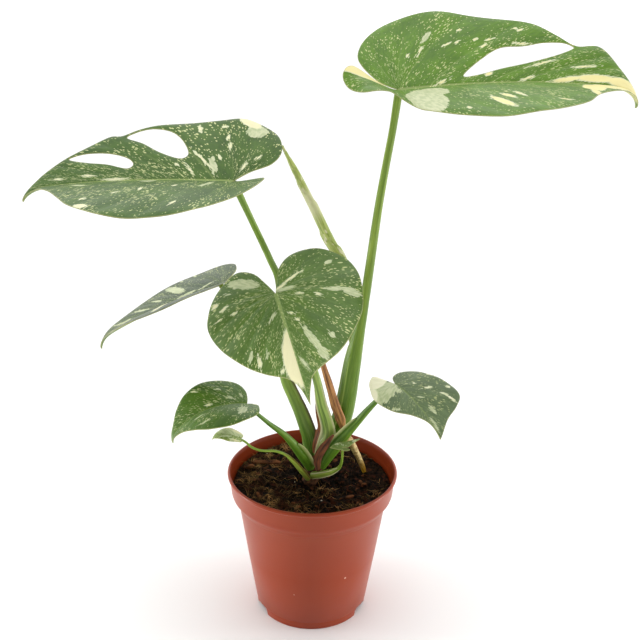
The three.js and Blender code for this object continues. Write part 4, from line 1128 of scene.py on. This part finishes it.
def blade_finish(name, leaf):
    """Waxy green mottled along the veins, with cream specks and streaks, and the cream patches."""
    light, dark = (paint(*colour) for colour in leaf["greens"])
    spacing = VEIN_SPACING * leaf["length"]
    finish = Finish(name, Roughness=0.4, Specular_IOR_Level=0.26)
    grain = finish.stored("grain")
    across, out, rib_share = finish.parts("grain")
    cream_depth, pale_depth, edge_share = finish.parts("patch")
    under = finish.add("Attribute", {"attribute_name": "under"}).outputs["Fac"]

    mottle = finish.cloud(finish.scaled(grain, (0.75, 0.17, 1)), 1, 4, flat=True)
    broad = finish.cloud(finish.scaled(grain, (0.09, 0.04, 1)), 1, 2, flat=True)
    tone = finish.plus(finish.times(mottle, 0.5), finish.times(broad, 0.5))
    green = finish.blend(finish.ease(tone, 0.32, 0.68), dark, light)

    # side veins and midrib, a little paler than the blade
    vein_strength = min(0.4, leaf["length"] / 350)
    rib_strength = min(0.9, leaf["length"] / 120)
    off_vein = finish.calc("PINGPONG", finish.calc("DIVIDE", across, spacing), 0.5)
    vein = finish.ease(finish.times(off_vein, spacing), 0.25, 0.9, 1.0, 0.0)
    vein_fade = finish.ease(out, leaf["width"] * 0.1, leaf["width"] * 0.75, vein_strength, 0.0)
    rib = finish.ease(rib_share, 0.75, 1.25, rib_strength, 0.0)
    line = finish.calc("MAXIMUM", finish.times(vein, vein_fade), rib)
    veined = finish.blend(line, green, paint(140, 160, 88))

    # small specks and longer streaks, thicker in some places than in others
    ragged = finish.cloud(finish.scaled(grain, (0.9, 0.24, 1)), 1, 4, flat=True)
    crowd = finish.ease(finish.cloud(finish.scaled(grain, (0.06, 0.04, 1)), 1, 1, flat=True), 0.35, 0.65)
    unevenness = finish.less(ragged, 0.5)
    spots = []
    for stretch, floor, size in (((1.4, 0.38, 1), 0.7, 0.95), ((0.75, 0.16, 1), 0.79, 0.75)):
        flat = {"voronoi_dimensions": "2D"}
        cells = finish.add("TexVoronoi", flat, Vector=finish.scaled(grain, stretch), Scale=1.0)
        pick = finish.add("SeparateColor", Color=cells.outputs["Color"]).outputs[0]
        chosen = finish.less(pick, finish.less(floor, finish.times(crowd, 0.2)))
        reach = finish.times(finish.calc("MAXIMUM", chosen, 0.0), size * leaf["speckle"])
        away = finish.plus(cells.outputs["Distance"], finish.times(unevenness, 0.22))
        spots.append(finish.ease(finish.less(reach, away), 0.0, 0.07))
    cover = finish.calc("MAXIMUM", *spots)

    # the patches, with frayed edges, then the margin and the paler underside
    fray = finish.times(unevenness, 3.4)
    cream = finish.ease(finish.plus(cream_depth, fray), 0.0, 0.25)
    pale = finish.ease(finish.plus(pale_depth, fray), 0.0, 0.35)
    specked = finish.blend(finish.times(cover, 0.84), veined, paint(212, 216, 152))
    milky = finish.blend(finish.ease(mottle, 0.4, 0.6), paint(184, 194, 148), paint(208, 212, 172))
    faded = finish.blend(finish.times(pale, 0.94), specked, milky)
    deep_butter = paint(*leaf["butter"])
    butter = finish.blend(finish.ease(cream_depth, 0.3, 1.1), paint(212, 216, 174), deep_butter)
    bleached = finish.blend(cream, faded, butter)
    margin = finish.ease(edge_share, 0.62, 0.95, 0.0, 0.6)
    rimmed = finish.blend(margin, bleached, paint(176, 170, 110))
    below = finish.blend(0.5, rimmed, paint(140, 160, 104))
    finish.colour(finish.blend(under, rimmed, below))
    finish.relief(finish.plus(finish.times(line, -0.8), mottle), 0.15)
    return finish


def upward(places, faces, sheet):
    """Winds every face the same way, seen from above, and returns the sheet's normals."""
    a, b, c = (places[faces[:, k]] for k in range(3))
    clockwise = np.cross(b - a, c - a) < 0
    faces[clockwise] = faces[clockwise][:, ::-1]
    corners = sheet[faces]
    face_normals = np.cross(corners[:, 1] - corners[:, 0], corners[:, 2] - corners[:, 0])
    normals = np.zeros_like(sheet)
    for k in range(3):
        np.add.at(normals, faces[:, k], face_normals)
    return normals / np.linalg.norm(normals, axis=1)[:, None]


def grow_blade(name, leaf):
    """Bends the flat blade, gives it thickness and vein relief, and sets it on its stalk."""
    places, faces, nearest = cut_flat(leaf)
    x, y = places[:, 0], np.abs(places[:, 1])
    on_left = places[:, 1] >= 0
    sheet = np.where(on_left[:, None], bent(leaf, x, y, "left"), bent(leaf, x, y, "right"))
    normals = upward(places, faces, sheet)

    # the blade swells between its side veins, and is grooved above its keeled midrib
    veins = {side: vein_place(leaf, x, y, side) for side in SIDES}
    spacing = VEIN_SPACING * leaf["length"]
    across = np.where(on_left, veins["left"][0], veins["right"][0])
    between = np.abs(np.sin(math.pi * across / spacing))
    big = leaf["length"] / BIG_BLADE
    puff = VEIN_PUFF * big ** 1.6 * between * np.clip(y / (0.25 * leaf["width"]), 0, 1)
    puff *= np.clip(nearest / (5 * big), 0, 1)
    rib_half = np.interp(x, (-1, 0, leaf["length"]), (0.2, 1.35 * big + 0.35, 0.25))
    keel = np.exp(-(y / (rib_half * 1.3)) ** 2) * (x > -0.5)
    half = np.interp(nearest, (0, 1.6), (MARGIN_HALF, BLADE_HALF))
    top = sheet + normals * (half + puff - GROOVE_DEPTH * big * keel)[:, None]
    bottom = sheet + normals * (puff - half - KEEL_DEPTH * big * keel)[:, None]

    spin = (
        Matrix.Rotation(math.radians(leaf["yaw"]), 3, "Z")
        @ Matrix.Rotation(-math.radians(leaf["pitch"]), 3, "Y")
        @ Matrix.Rotation(math.radians(leaf["roll"]), 3, "X")
    )
    points = np.vstack([top, bottom]) @ np.array(spin).T + np.array(leaf["at"])
    count = len(places)
    links = np.vstack([faces[:, [0, 1]], faces[:, [1, 2]], faces[:, [2, 0]]])
    twin = {(b, a) for a, b in links}
    rim = [(a, b) for a, b in map(tuple, links) if (a, b) not in twin]
    triangles = [tuple(face) for face in faces] + [tuple(face[::-1] + count) for face in faces]
    walls = [(b, a, a + count, b + count) for a, b in rim]
    everything = [[int(i) for i in face] for face in triangles + walls]
    finish = blade_finish("blade_" + name, leaf)
    piece = make_piece("blade_" + name, points, everything, finish, crease=75)
    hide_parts("leaf_" + name)

    # what the finish reads. The two halves have their own, so it is kept at the face corners
    edge_share = np.clip(1 - nearest / MARGIN_BAND, 0, 1)
    layers = {}
    for side, (vein_across, out) in veins.items():
        shift = 0 if side == "left" else VEIN_SHIFT * spacing
        depths = [painted(leaf, kind, x, y, side) for kind in ("cream", "pale")]
        layers[side] = (
            np.stack([vein_across + shift, out, y / rib_half], -1),
            np.stack([*depths, edge_share], -1),
        )
    face_left = places[faces].mean(axis=1)[:, 1] >= 0
    wall_left = np.array([places[a][1] + places[b][1] >= 0 for a, b in rim])
    mesh = piece.data
    loop_total = np.zeros(len(mesh.polygons), int)
    mesh.polygons.foreach_get("loop_total", loop_total)
    loop_left = np.repeat(np.concatenate([face_left, face_left, wall_left]), loop_total)
    loop_vertex = np.zeros(len(mesh.loops), int)
    mesh.loops.foreach_get("vertex_index", loop_vertex)
    flat_vertex = loop_vertex % count
    for index, label in enumerate(("grain", "patch")):
        left, right = (layers[side][index][flat_vertex] for side in ("left", "right"))
        layer = mesh.attributes.new(label, "FLOAT_VECTOR", "CORNER")
        layer.data.foreach_set("vector", np.where(loop_left[:, None], left, right).ravel())
    layer = mesh.attributes.new("under", "FLOAT", "POINT")
    layer.data.foreach_set("value", np.repeat([0.0, 1.0], count))


for leaf_name, leaf_facts in LEAVES.items():
    grow_blade(leaf_name, PLAIN_LEAF | leaf_facts)


# Studio.
# A pale floor under a white sky that is dim only high up on the camera's side, a large soft
# lamp above, a small one low on each side, and the camera a little above the top leaves.
FLOOR_REACH = 8
SKY_BRIGHT = 1.4
SKY_BEHIND_CAMERA = 0.12
floor_corners = [(x * FLOOR_REACH, y * FLOOR_REACH, 0) for x, y in ((-1, -1), (1, -1), (1, 1), (-1, 1))]
floor_mesh = bpy.data.meshes.new("floor")
floor_mesh.from_pydata(floor_corners, [], [(0, 1, 2, 3)])
floor = bpy.data.objects.new("floor", floor_mesh)
bpy.context.scene.collection.objects.link(floor)
floor_paint = Finish("floor_paint", Roughness=0.9, Base_Color=(0.96, 0.96, 0.96, 1))
floor_mesh.materials.append(floor_paint.material)

sky = bpy.data.worlds.new("studio_sky")
sky.use_nodes = True
sky_nodes, sky_links = sky.node_tree.nodes, sky.node_tree.links


def sky_ease(value, low, high, start, end):
    """start below low, end above high, and an even slope between, on the sky."""
    ramp = sky_nodes.new("ShaderNodeMapRange")
    for socket, given in zip(ramp.inputs, (value, low, high, start, end)):
        if isinstance(given, bpy.types.NodeSocket):
            sky_links.new(given, socket)
        else:
            socket.default_value = given
    return ramp.outputs[0]


outlook = sky_nodes.new("ShaderNodeSeparateXYZ")
sky_links.new(sky_nodes.new("ShaderNodeTexCoord").outputs["Generated"], outlook.inputs[0])
to_the_front = sky_ease(outlook.outputs[1], -0.15, -0.7, 0, 1)
dimming = sky_ease(outlook.outputs[2], 0.12, 0.35, 0, to_the_front)
sky_strength = sky_ease(dimming, 0, 1, SKY_BRIGHT, SKY_BEHIND_CAMERA)
backing = sky_nodes["Background"]
backing.inputs["Color"].default_value = (1, 1, 1, 1)
sky_links.new(sky_strength, backing.inputs["Strength"])
bpy.context.scene.world = sky

# lamps by name, place, aim, size, power and spread in degrees
for lamp_name, place, aim, size, power, spread in (
    ("lamp_above", (-0.3, -0.2, 1.8), (0, 0, 0.2), 1.4, 6, 180),
    ("lamp_left", (-0.9, 0, 0.06), (0, 0, 0.06), 0.1, 0.36, 50),
    ("lamp_right", (0.9, 0, 0.06), (0, 0, 0.06), 0.1, 0.36, 50),
):
    lamp_data = bpy.data.lights.new(lamp_name, "AREA")
    lamp_data.size = size
    lamp_data.energy = power
    lamp_data.spread = math.radians(spread)
    lamp = bpy.data.objects.new(lamp_name, lamp_data)
    lamp.location = place
    lamp.visible_camera = False
    lamp.rotation_euler = (Vector(aim) - Vector(place)).to_track_quat("-Z", "Y").to_euler()
    bpy.context.scene.collection.objects.link(lamp)

LENS = 49.34
CAMERA_PLACE = (0, -0.5472, 0.4235)
CAMERA_PITCH = math.radians(20.43)
CAMERA_YAW = math.radians(0.42)
CAMERA_ROLL = math.radians(0.75)
ahead = Vector((
    math.sin(CAMERA_YAW) * math.cos(CAMERA_PITCH),
    math.cos(CAMERA_YAW) * math.cos(CAMERA_PITCH),
    -math.sin(CAMERA_PITCH),
))
level_right = Vector((math.cos(CAMERA_YAW), -math.sin(CAMERA_YAW), 0))
level_up = level_right.cross(ahead)
right = level_right * math.cos(CAMERA_ROLL) + level_up * math.sin(CAMERA_ROLL)
up = level_up * math.cos(CAMERA_ROLL) - level_right * math.sin(CAMERA_ROLL)
camera_data = bpy.data.cameras.new("camera")
camera_data.lens = LENS
camera_data.sensor_width = 36
camera_data.clip_end = 60
camera = bpy.data.objects.new("camera", camera_data)
camera.matrix_world = Matrix((
    (right.x, up.x, -ahead.x, CAMERA_PLACE[0]),
    (right.y, up.y, -ahead.y, CAMERA_PLACE[1]),
    (right.z, up.z, -ahead.z, CAMERA_PLACE[2]),
    (0, 0, 0, 1),
))
bpy.context.scene.collection.objects.link(camera)
bpy.context.scene.camera = camera
bpy.context.scene.view_settings.view_transform = "Standard"
